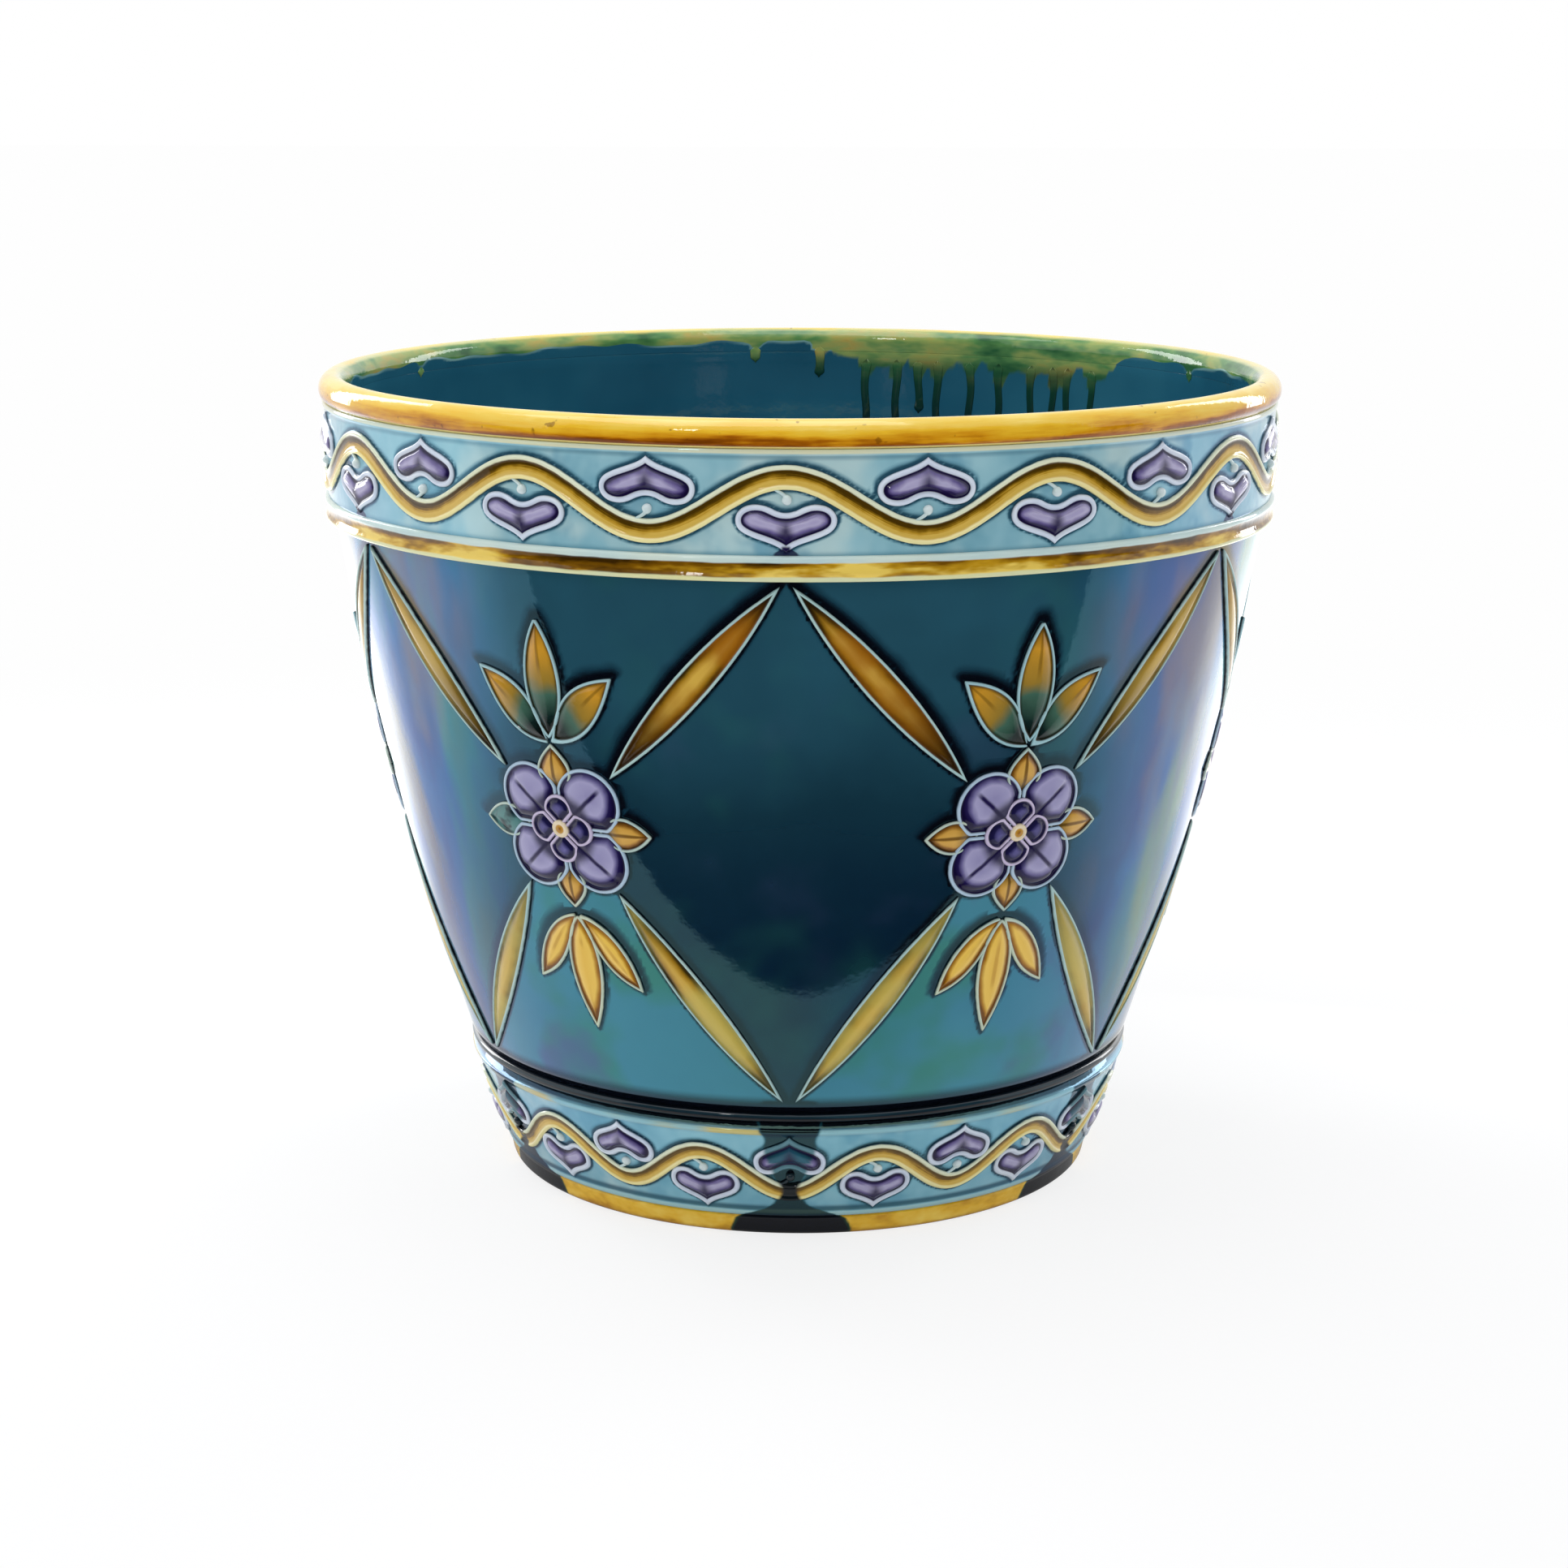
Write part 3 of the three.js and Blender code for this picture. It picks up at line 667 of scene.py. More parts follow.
def panel_outlines():
    """Edges of all that stands out from the panel, as (across, height) lines from a rosette's axis."""
    lines = []
    angle = np.linspace(0, 2 * math.pi, 240)
    reach = np.array([petal_reach(a) for a in angle])
    lines.append(np.stack([reach * np.cos(angle), ROSETTE_Z + reach * np.sin(angle)], -1))
    for edges in [*crown_leaves(), *drop_leaves(), *sepals()]:
        lines.extend(bezier(edge, 80) for edge in edges)
    for side in (-1, 1):
        for rise in (-1, 1):
            lines.extend(bezier(edge, 200) for edge in trellis_edges(side, rise))
    return [(ROSETTE_AXIS, line) for line in lines]


def border_outlines(border):
    lines = []
    for axis, notch, tip, _ in border_hearts(border):
        outline = heart_outline(notch, tip, border["heart"])
        lines.append((axis, np.concatenate([outline, (outline + np.roll(outline, -1, 0)) / 2])))
    turn = np.linspace(0, SECTOR, 220)
    z = border["middle"] + border["phase"] * border["swing"] * np.cos(WAVES * turn)
    radius = wall_radius(z)
    slope = -border["phase"] * border["swing"] * WAVES * np.sin(WAVES * turn) / radius
    for side in (-1, 1):
        tilt = side * border["width"] / 2 / np.hypot(1, slope)
        lines.append((0, np.stack([(turn - tilt * slope / radius) * wall_radius(z + tilt), z + tilt], -1)))
    return lines


def relief_finder(lines):
    """A search tree over the relief's edges, in this sector and in its two neighbours."""
    clouds = []
    for axis, line in lines:
        for turn in (-SECTOR, 0, SECTOR):
            clouds.append(on_wall(axis + turn, line[:, 0], line[:, 1], 0))
    cloud = np.concatenate(clouds)
    finder = KDTree(len(cloud))
    for i, point in enumerate(cloud):
        finder.insert(point, i)
    finder.balance()
    return finder


def pooled_marks(finder, radii, heights, columns):
    """For each point of one sector: the distance to the nearest relief, and how far up the wall the
    point lies from it, from -1 straight below to 1 straight above."""
    count = columns // REPEATS
    turns = np.arange(count) / columns * 2 * math.pi
    gap = np.zeros((len(heights), count))
    above = np.zeros((len(heights), count))
    for row, (radius, z) in enumerate(zip(radii, heights)):
        for column, turn in enumerate(turns):
            here = Vector((radius * math.sin(turn), -radius * math.cos(turn), z))
            nearest, _, distance = finder.find(here)
            gap[row, column] = distance
            above[row, column] = (z - nearest.z) / max(distance, 0.05)
    return np.tile(gap, (1, REPEATS)), np.tile(above, (1, REPEATS))


def turned_rows(profile, columns):
    """Rows of points round the pot's axis, from a profile of (radius, height)."""
    angle = np.arange(columns) / columns * 2 * math.pi
    profile = np.asarray(profile, float)
    radius = profile[:, 0, None]
    x = radius * np.sin(angle)
    y = -radius * np.cos(angle)
    z = np.broadcast_to(profile[:, 1, None], x.shape)
    return np.stack([x, y, z], -1), angle


def with_marks(rows, *marks):
    broad = [np.broadcast_to(mark, rows.shape[:2])[..., None] for mark in marks]
    return np.concatenate([rows, *broad], -1)


def cell_depth(angle, z):
    """How thickly the glaze lies in each field of the lattice: thin under the flowers, thick in the
    diamonds between them, and thicker lower down."""
    across = np.abs(np.mod(angle, SECTOR) - SECTOR / 2) * wall_radius(z)
    half = wall_radius(z) * SECTOR / 2
    low_base, low_apex = trellis_ends(1, -1)
    high_base, high_apex = trellis_ends(1, 1)
    low_edge = np.interp(z, [low_apex[1], low_base[1], ROSETTE_Z], [low_apex[0], low_base[0], 0])
    high_edge = np.interp(z, [ROSETTE_Z, high_base[1], high_apex[1]], [0, high_base[0], high_apex[0]])
    edge = np.where(z < ROSETTE_Z, low_edge, high_edge)
    inside = 1 - eased(edge - 2.5, edge + 2.5, across)
    under = inside * (z < ROSETTE_Z)
    over = inside * (z >= ROSETTE_Z)
    middle = across / half
    diamond = 0.5 + 0.5 * eased(250, 120, z) - 0.12 * eased(90, 66, z) * middle
    return diamond * (1 - inside) + under * 0.1 + over * (0.5 + 0.18 * eased(235, 200, z))


WALL_COLUMNS = 720
WALL_MARKS = ("gap", "above", "depth", "run")


def wall_skin(outside, back, finder):
    """A closed ring of wall: its outer profile from the foot up, its plain back, and its marks."""
    profile = np.array(outside + back, float)
    rows, angle = turned_rows(profile, WALL_COLUMNS)
    gap, above = pooled_marks(finder, profile[:, 0], profile[:, 1], WALL_COLUMNS)
    z = profile[:, 1, None]
    depth = cell_depth(angle[None, :], z)
    run = run_depth(angle[None, :], z)
    return skin(with_marks(rows, gap, above, depth, run), is_ring=True)


def panel_wall():
    heights = np.linspace(PANEL_FOOT, PANEL_TOP + 1.5, 128)
    outside = [(channel_radius(PANEL_FOOT - 4), PANEL_FOOT - 5)]
    outside += [(channel_radius(PANEL_FOOT), PANEL_FOOT - 0.8)]
    outside += [(panel_radius(PANEL_FOOT) - 0.5, PANEL_FOOT - 0.4)]
    outside += [(panel_radius(z), z) for z in heights]
    back = [(panel_radius(z) - OUTER_SKIN, z) for z in (PANEL_TOP + 1.5, 170, PANEL_FOOT - 3)]
    return wall_skin(outside, back, relief_finder(panel_outlines()))


def upper_band_wall():
    lip_foot = BAND_TOP - LIP_WIDTH
    outside = [(upper_radius(z), z) for z in np.linspace(PANEL_TOP + 2, lip_foot - 0.9, 36)]
    outside += [
        (upper_radius(lip_foot) + 0.35, lip_foot - 0.3),
        (upper_radius(lip_foot) + LIP_HEIGHT, lip_foot + 0.5),
        (upper_radius(lip_foot) + LIP_HEIGHT, BAND_TOP - 0.4),
        (upper_radius(lip_foot) + 0.3, BAND_TOP),
    ]
    back = [(upper_radius(z) - OUTER_SKIN, z) for z in (BAND_TOP, PANEL_TOP + 2)]
    return wall_skin(outside, back, relief_finder(border_outlines(BORDERS["upper"])))


def lower_band_wall():
    outside = [
        (BAND_FOOT_RADIUS - 3, BODY_FOOT),
        (BAND_FOOT_RADIUS + 0.4, BODY_FOOT + 0.1),
        (BAND_FOOT_RADIUS + LIP_HEIGHT, BODY_FOOT + 0.6),
        (lower_radius(BODY_FOOT + 1.6) + LIP_HEIGHT, BODY_FOOT + 1.7),
    ]
    top = LOWER_BAND_TOP
    outside += [(lower_radius(z), z) for z in np.linspace(BODY_FOOT + 2.6, top - 2.8, 32)]
    outside += [
        (lower_radius(top - 1.8) + 0.5, top - 2),
        (lower_radius(top - 0.8) + LIP_HEIGHT, top - 1.2),
        (lower_radius(top - 0.2) + LIP_HEIGHT, top - 0.4),
        (lower_radius(top) + 0.2, top + 0.1),
        (channel_radius(top + 0.4), top + 0.5),
        (channel_radius(BEAD_MIDDLE + 0.1), BEAD_MIDDLE),
    ]
    back = [(lower_radius(top + 0.2) - 7, BEAD_MIDDLE), (BAND_FOOT_RADIUS - 4, BODY_FOOT + 4)]
    return wall_skin(outside, back, relief_finder(border_outlines(BORDERS["lower"])))


def inside_wall():
    """The inside of the pot, its floor and its underside, closed at the axis."""
    profile = [(118, BODY_FOOT), (123, BODY_FOOT), (123.4, BODY_FOOT + 3)]
    profile += [(float(wall_radius(z)) - 5, z) for z in (20, 49)]
    profile += [(float(wall_radius(z)) - 5, z) for z in (62, 170, 277, BAND_TOP - 0.3)]
    profile += [(INSIDE_TOP + 0.9, BAND_TOP + 0.3), (INSIDE_TOP + 0.05, BAND_TOP + 0.3)]
    heights = np.linspace(BAND_TOP, FLOOR_TOP + FILLET + 3, 60)
    profile += [(inside_radius(z), z) for z in heights]
    fillet_radius = inside_radius(FLOOR_TOP + FILLET) - FILLET
    for share in np.linspace(0, 1, 14):
        angle = share * math.pi / 2
        z = FLOOR_TOP + FILLET * (1 - math.sin(angle))
        profile.append((fillet_radius + FILLET * math.cos(angle), z))
    profile += [(r, FLOOR_TOP) for r in (80, 50, 20, 2)]
    profile = [(2, BODY_FOOT), (60, BODY_FOOT)] + profile
    rows, angle = turned_rows(profile, RING_COLUMNS)
    z = np.array(profile)[:, 1, None]
    facing_in = np.concatenate([np.zeros(12), np.ones(len(profile) - 12)])[:, None]
    rows = with_marks(rows, wash_depth(angle[None, :], z), facing_in)
    ends = [np.array([0, 0, BODY_FOOT, 0, 0]), np.array([0, 0, FLOOR_TOP, 0, 1])]
    return skin(rows, ends=ends)


def inside_radius(z):
    upper = BAND_TOP_RADIUS - WALL_THICKNESS
    body = float(panel_radius(max(z, PANEL_FOOT))) - WALL_THICKNESS
    if z >= PANEL_TOP:
        share = (z - PANEL_TOP) / UPPER_BAND_HEIGHT
        return body * (1 - share) + upper * share
    if z >= PANEL_FOOT:
        return body
    foot = float(wall_radius(FLOOR_TOP)) - WALL_THICKNESS
    share = (z - FLOOR_TOP - FILLET) / (PANEL_FOOT - FLOOR_TOP - FILLET)
    return foot + (body - foot) * max(0.0, share)


WASH_FOOT = RIM_TOP - 6.0
DRIPS_FROM = math.radians(132)
DRIPS_TO = math.radians(178)
DRIPS = (  # the turn of each drip in degrees, and how far it ran down
    (115.4, 9), (136.1, 42), (140.4, 60), (142.8, 66), (146.5, 58), (151.7, 70), (156.2, 44),
    (161.2, 50), (164, 34), (167.3, 62), (171.8, 74), (178.6, 18), (187.7, 11), (244.9, 8),
)


def wash_depth(angle, z):
    """How far the rim's green wash runs down inside, which is furthest at the back on the right."""
    near = eased(DRIPS_FROM - 0.08, DRIPS_FROM + 0.04, angle)
    near = near * (1 - eased(DRIPS_TO - 0.14, DRIPS_TO + 0.04, angle))
    wave = np.sin(angle * 13) + 0.7 * np.sin(angle * 29 + 1) + 0.5 * np.sin(angle * 53 + 2)
    edge = WASH_FOOT - 0.7 * wave - near * (9.5 + 1.8 * np.sin(angle * 41))
    for turn, length in DRIPS:
        beside = (angle - math.radians(turn)) * INSIDE_TOP
        edge = edge - min(length / 3, 9) * np.exp(-((beside / 3) ** 2))
    return eased(edge - 2.2, edge + 1.6, z)


def drips():
    """Raised runs of green glaze down the inside of the wall."""
    skins = []
    for turn, length in DRIPS:
        middle = math.radians(turn)
        among_others = DRIPS_FROM < middle < DRIPS_TO
        top = WASH_FOOT - (8 if among_others else 2)
        length = max(length - (9 if among_others else 3), 5)
        loops = []
        for step in np.linspace(0, 1, 30):
            z = top - step * length
            bead = math.exp(-(((step * length - length + 2.6) / 2.2) ** 2))
            bead = bead * float(eased(5, 14, length))
            half = 1.6 + 1.2 * math.exp(-step * length / 4.5) + 0.5 * bead
            half = half * float(eased(0, 2.5, step * length))
            half = 0.2 + half * float(eased(length, length - 2.4, step * length))
            sway = 0.5 * math.sin(z * 0.22 + turn)
            beside, above = rays(10).T
            out = half * beside + sway
            rise = (0.25 + 0.3 * bead) * min(1.0, half) * above + 0.05
            rise = rise * float(eased(0, 4, step * length))
            radius = inside_radius(min(z, BAND_TOP)) - rise
            turned = middle + out / radius
            x = radius * np.sin(turned)
            y = -radius * np.cos(turned)
            points = np.stack([x, y, np.full(len(out), z)], -1)
            marks = np.full((len(out), 1), min(1.0, step * length / 32))
            loops.append(np.concatenate([points, marks], -1))
        skins.append(skin(loops))
    return skins


# ---------------------------------------------------------------- turned rings


def rounded(points, steps=6):
    """A closed profile with each corner cut round by a short curve."""
    points = np.asarray(points, float)
    result = []
    count = len(points)
    for i in range(count):
        before, here, after = points[i - 1], points[i], points[(i + 1) % count]
        reach = min(np.hypot(*(before - here)), np.hypot(*(after - here))) * 0.45
        start = here + (before - here) / np.hypot(*(before - here)) * reach
        end = here + (after - here) / np.hypot(*(after - here)) * reach
        for t in np.linspace(0, 1, steps):
            result.append((1 - t) ** 2 * start + 2 * t * (1 - t) * here + t * t * end)
    return np.array(result)


def ring_skin(profile):
    """A closed turned ring: its marks are the height, and how far the green wash and the dark glaze
    cover it."""
    rows, angle = turned_rows(profile, RING_COLUMNS)
    z = np.asarray(profile)[:, 1, None]
    run = run_depth(angle[None, :], z)
    wash = wash_depth(angle[None, :], z)
    return skin(with_marks(rows, z, wash, run), is_ring=True)


RING_MARKS = ("height", "wash", "run")


def rim_profile():
    shoulder = RIM_FOOT + 4
    middle = (INSIDE_TOP + RIM_OUTER) / 2
    half = (RIM_OUTER - INSIDE_TOP) / 2
    foot = BAND_TOP + 0.05
    profile = [(INSIDE_TOP, foot), (INSIDE_TOP + 0.2, foot), (BAND_TOP_RADIUS - 0.3, foot)]
    profile += [(BAND_TOP_RADIUS + 0.3, RIM_FOOT + 0.2), (BAND_TOP_RADIUS + 1.3, RIM_FOOT + 1.4)]
    profile += [(BAND_TOP_RADIUS + 1.85, RIM_FOOT + 2.7)]
    for angle in np.linspace(0, math.pi, 22):
        r = middle + half * math.cos(angle)
        profile.append((r, shoulder + (RIM_TOP - shoulder) * math.sin(angle)))
    profile += [(INSIDE_TOP, RIM_FOOT + 2), (INSIDE_TOP, foot + 0.2)]
    return profile


def moulding_profile():
    rises = [  # above the panel's top, and out from the band
        (-0.2, -0.3), (-0.1, 0.35), (0.3, 1.1), (0.9, 1.55), (1.5, 1.6), (2.2, 1.35), (2.9, 0.85),
        (3.8, 0.6), (5, 0.62), (6, 0.75), (6.7, 1.0), (7.4, 1.4), (8.1, 1.68), (8.7, 1.55),
        (9.3, 1.1), (9.65, 0.35), (9.75, -0.3),
    ]
    return [(upper_radius(PANEL_TOP + up) + out, PANEL_TOP + up) for up, out in rises]


def bead_profile():
    half = (BEAD_TOP - BEAD_FOOT) / 2
    base = channel_radius(BEAD_MIDDLE)
    profile = [(base - 0.4, BEAD_TOP - 0.1)]
    for angle in np.linspace(0, math.pi, 12):
        profile.append((base + half * math.sin(angle), BEAD_MIDDLE - half * math.cos(angle)))
    return profile + [(base - 0.4, BEAD_FOOT + 0.1)]


def foot_profile():
    inner = FOOT_RADIUS - FOOT_WIDTH
    return rounded(
        [
            (inner, 0.9),
            (inner + 1, 0),
            (FOOT_RADIUS - 1.4, 0),
            (FOOT_RADIUS + 0.4, 1.4),
            (FOOT_RADIUS + 1.7, 7.6),
            (FOOT_RADIUS + 1.2, 8.5),
            (inner + 2, 8.5),
        ]
    )


# ---------------------------------------------------------------- glazes


def as_rendered(red, green, blue):
    """A colour given as a screen shows it, 0 to 255, as the renderer counts it."""
    values = []
    for value in (red / 255, green / 255, blue / 255):
        values.append(value / 12.92 if value <= 0.04045 else ((value + 0.055) / 1.055) ** 2.4)
    return (*values, 1.0)


class Wire:
    """A value in a material. Arithmetic on it adds the Math nodes that work it out."""

    def __init__(self, glaze, socket):
        self.glaze = glaze
        self.socket = socket

    def __add__(self, other):
        return self.glaze.maths("ADD", self, other)

    def __radd__(self, other):
        return self.glaze.maths("ADD", other, self)

    def __sub__(self, other):
        return self.glaze.maths("SUBTRACT", self, other)

    def __rsub__(self, other):
        return self.glaze.maths("SUBTRACT", other, self)

    def __mul__(self, other):
        return self.glaze.maths("MULTIPLY", self, other)

    def __rmul__(self, other):
        return self.glaze.maths("MULTIPLY", other, self)

    def __truediv__(self, other):
        return self.glaze.maths("DIVIDE", self, other)

    def __rtruediv__(self, other):
        return self.glaze.maths("DIVIDE", other, self)


class Glaze:
    """A procedural material, and the nodes that it is made from. A colour is red, green and blue as
    a screen shows them, 0 to 255."""

    def __init__(self, name, kind="material", block=None):
        if kind == "world":
            block = bpy.data.worlds.new(name)
        elif kind == "material":
            block = bpy.data.materials.new(name)
        self.block = block
        self.block.use_nodes = True
        self.tree = self.block.node_tree
        self.tree.nodes.clear()

    def node(self, kind, settings=None, sockets=None, output=0):
        made = self.tree.nodes.new(kind)
        for setting, value in (settings or {}).items():
            if setting == "stops":
                self.fill_ramp(made.color_ramp, value)
            else:
                setattr(made, setting, value)
        for socket, value in (sockets or {}).items():
            if isinstance(value, Wire):
                self.tree.links.new(value.socket, made.inputs[socket])
            elif made.inputs[socket].type == "RGBA" and len(value) == 3:
                made.inputs[socket].default_value = as_rendered(*value)
            else:
                made.inputs[socket].default_value = value
        return Wire(self, made.outputs[output]) if len(made.outputs) else None

    def fill_ramp(self, ramp, stops):
        while len(ramp.elements) > 1:
            ramp.elements.remove(ramp.elements[-1])
        for i, (position, colour) in enumerate(stops):
            stop = ramp.elements[0] if i == 0 else ramp.elements.new(position)
            stop.position = position
            stop.color = as_rendered(*colour)

    def maths(self, operation, *values):
        return self.node("ShaderNodeMath", {"operation": operation}, dict(enumerate(values)))

    def mark(self, name):
        return self.node("ShaderNodeAttribute", {"attribute_name": name}, output="Fac")

    def place(self):
        return self.node("ShaderNodeTexCoord", output="Object")

    def point(self):
        """The place on the pot, as its x, y and height in metres."""
        return self.parts_of(self.place())

    def parts_of(self, vector):
        split = self.node("ShaderNodeSeparateXYZ", sockets={0: vector})
        return [Wire(self, output) for output in split.socket.node.outputs]

    def noise(self, scale, detail=2.0, roughness=0.5, stretch=(1, 1, 1), offset=(0, 0, 0), where=None):
        """Smooth noise from 0 to 1, at so many features to a metre."""
        if where is None:
            settings = {"vector_type": "POINT"}
            sockets = {"Vector": self.place(), "Scale": stretch, "Location": offset}
            where = self.node("ShaderNodeMapping", settings, sockets)
        sockets = {"Vector": where, "Scale": scale, "Detail": detail, "Roughness": roughness}
        return self.node("ShaderNodeTexNoise", {"noise_dimensions": "3D"}, sockets, "Fac")

    def step(self, value, low, high, start=0.0, end=1.0):
        sockets = {"Value": value, 1: low, 2: high, 3: start, 4: end}
        return self.node("ShaderNodeMapRange", {"interpolation_type": "SMOOTHSTEP"}, sockets)

    def fade(self, value, low, high):
        """1 below low, 0 above high, and a smooth step between them."""
        return self.step(value, low, high, 1.0, 0.0)

    def sway(self, size, *noise, **more):
        """Noise about nothing, as wide from its lowest to its highest as the size."""
        return (self.noise(*noise, **more) - 0.5) * size

    def mix(self, first, second, share):
        settings = {"data_type": "RGBA", "clamp_factor": True}
        return self.node("ShaderNodeMix", settings, {0: share, 6: first, 7: second}, 2)

    def ramp(self, value, *stops):
        return self.node("ShaderNodeValToRGB", {"stops": stops}, {0: value})

    def lustre(self):
        """A sheen of two films, the thicker one over it in clouds."""
        cloud = self.noise(9, 2.0, 0.5, stretch=(1, 1, 0.7), offset=(2, 5, 2))
        return [(THIN_FILM, 0.0), (THICK_FILM, self.step(cloud, 0.4, 0.62))]

    def fired(self, colour, roughness=0.05, films=(), ripple=0.25):
        """The fired surface: colour under a clear, slightly rippled gloss. Each film of a lustre is a
        thickness and the share of the surface where it lies in place of those before it."""
        large = self.noise(95, 1.0)
        small = self.noise(420, 1.0, offset=(3, 1, 2))
        height = large * 0.75 + small * 0.25
        sockets = {"Height": height, "Strength": ripple, "Distance": 0.0006}
        bump = self.node("ShaderNodeBump", sockets=sockets)
        sockets = {"Base Color": colour, "Roughness": roughness, "IOR": 1.52, "Normal": bump}
        surface = None
        for thickness, share in films or [(0, 0.0)]:
            sockets["Thin Film IOR"] = FILM_IOR
            sockets["Thin Film Thickness"] = thickness
            coat = self.node("ShaderNodeBsdfPrincipled", sockets=sockets)
            if surface is None:
                surface = coat
            else:
                layers = {0: share, 1: surface, 2: coat}
                surface = self.node("ShaderNodeMixShader", sockets=layers)
        self.node("ShaderNodeOutputMaterial", sockets={"Surface": surface})
        return self.block


THIN_FILM = 198  # thicknesses in nanometres of the film that gives the glaze its sheen
THICK_FILM = 220
FLAME_FILM = 300
FILM_IOR = 1.75
INK = (9, 13, 22)


def pooled(glaze, colour, pool, reach_below=1.0, reach_above=4.0, dark=INK):
    """Darkens a ground where the glaze pooled against the relief, most of all on its upper side."""
    gap = glaze.mark("gap")
    above = glaze.mark("above")
    sway = glaze.noise(70, 2.0, offset=(2, 9, 4))
    reach = glaze.step(above, -0.45, 0.7, reach_below, reach_above)
    reach = reach * (0.6 + 0.8 * sway)
    share = gap / reach
    soft = glaze.fade(share, 0.7, 1.7)
    colour = glaze.mix(colour, pool, soft * 0.75)
    hard = glaze.fade(share, 0.4, 1.1)
    return glaze.mix(colour, dark, hard)


def panel_glaze():
    """Deep teal, thin and turquoise under the flowers, thick and navy in the diamonds."""
    glaze = Glaze("teal_glaze_body")
    depth = glaze.mark("depth")
    cloud = glaze.noise(16, 3.0, 0.55)
    depth = depth + (cloud - 0.5) * 0.22
    colour = glaze.ramp(
        depth,
        (0.0, (66, 136, 154)), (0.22, (52, 114, 138)), (0.5, (37, 81, 98)),
        (0.72, (21, 54, 69)), (1.0, (10, 34, 54)),
    )
    thin = glaze.step(depth, 0.55, 0.1)
    # Green and violet blotches, strongest where the glaze lies thin: painted iridescent sheen.
    green = glaze.step(glaze.noise(14, 3.0, 0.55, offset=(5, 2, 8)), 0.5, 0.66)
    violet = glaze.step(glaze.noise(17, 3.0, 0.55, offset=(1, 7, 3)), 0.54, 0.7)
    colour = glaze.mix(colour, (50, 122, 100), green * (0.14 + thin * 0.66))
    colour = glaze.mix(colour, (78, 84, 132), violet * (0.1 + thin * 0.6))
    x, _, height = glaze.point()
    # Blue, cyan and green streaks mixed into the colour on both flanks: a painted iridescent sheen where
    # the reflections lie.
    flow = glaze.noise(20, 3.0, 0.5, stretch=(1, 1, 0.3), offset=(2, 8, 1))
    lustre = glaze.ramp(
        flow,
        (0.36, (58, 74, 156)), (0.48, (24, 118, 192)), (0.58, (36, 156, 166)), (0.68, (84, 152, 122)),
    )
    painted_sheen_flank = glaze.step(glaze.maths("ABSOLUTE", x), 0.1, 0.15)
    colour = glaze.mix(colour, lustre, painted_sheen_flank * 0.6)
    colour = pooled(glaze, colour, (14, 40, 56))
    streak = glaze.noise(60, 2.0, stretch=(1, 1, 0.25), offset=(4, 4, 4))
    run = glaze.step(glaze.mark("run") + (streak - 0.5) * 0.5, 0.35, 0.75)
    groove = glaze.fade(height, 0.0605, 0.0655)
    colour = glaze.mix(colour, INK, groove)
    foot = run * glaze.fade(height, 0.066, 0.074)
    colour = glaze.mix(colour, INK, foot)
    licks = glaze.noise(20, 3.0, 0.5, stretch=(1, 1, 0.35), offset=(6, 3, 9))
    flame = painted_sheen_flank * glaze.step(licks, 0.45, 0.6)
    films = glaze.lustre() + [(FLAME_FILM, flame)]
    return glaze.fired(colour, 0.045, films, ripple=0.12)


def band_glaze(name, pale, mid, thick, edge):
    """Turquoise grounds of the vine borders, darker in a thin line along the relief."""
    glaze = Glaze(name)
    cloud = glaze.noise(30, 3.0, 0.6, offset=(6, 1, 1))
    colour = glaze.ramp(cloud, (0.25, thick), (0.5, mid), (0.75, pale))
    patch = glaze.step(glaze.noise(18, 3.0, 0.6, offset=(3, 9, 1)), 0.5, 0.64)
    colour = glaze.mix(colour, (204, 226, 222), patch * 0.6)
    drift = glaze.step(glaze.noise(34, 3.0, 0.6, offset=(8, 2, 6)), 0.52, 0.66)
    colour = glaze.mix(colour, (94, 154, 180), drift * 0.6)
    colour = pooled(glaze, colour, (84, 138, 158), 0.9, 1.7, edge)
    height = glaze.point()[2]
    return glaze, colour, height


def upper_band_glaze():
    pale, mid, thick = (170, 212, 220), (148, 196, 208), (116, 170, 188)
    glaze, colour, height = band_glaze("turquoise_upper", pale, mid, thick, (44, 84, 104))
    shadow = glaze.step(height, 0.3226, 0.3244) * glaze.fade(height, 0.3246, 0.3252)
    colour = glaze.mix(colour, (70, 118, 138), shadow * 0.5)
    lip = glaze.step(height, 0.3253, 0.3258)
    cream = glaze.mix((242, 230, 164), (206, 226, 224), glaze.noise(16, 2.0))
    colour = glaze.mix(colour, cream, lip)
    foot = glaze.fade(height, 0.288, 0.2905)
    colour = glaze.mix(colour, (90, 148, 170), foot * 0.6)
    reach = glaze.step(height, 0.2908, 0.2886, 0.0024, 0.011)
    reach = reach * (0.4 + 1.2 * glaze.noise(120, 2.0))
    spill = glaze.fade((1 - lattice_axis(glaze)) / reach, 0.7, 1.2)
    colour = glaze.mix(colour, VIOLET, spill * glaze.step(height, 0.2925, 0.2912) * 0.9)
    return glaze.fired(colour, films=glaze.lustre(), ripple=0.3)


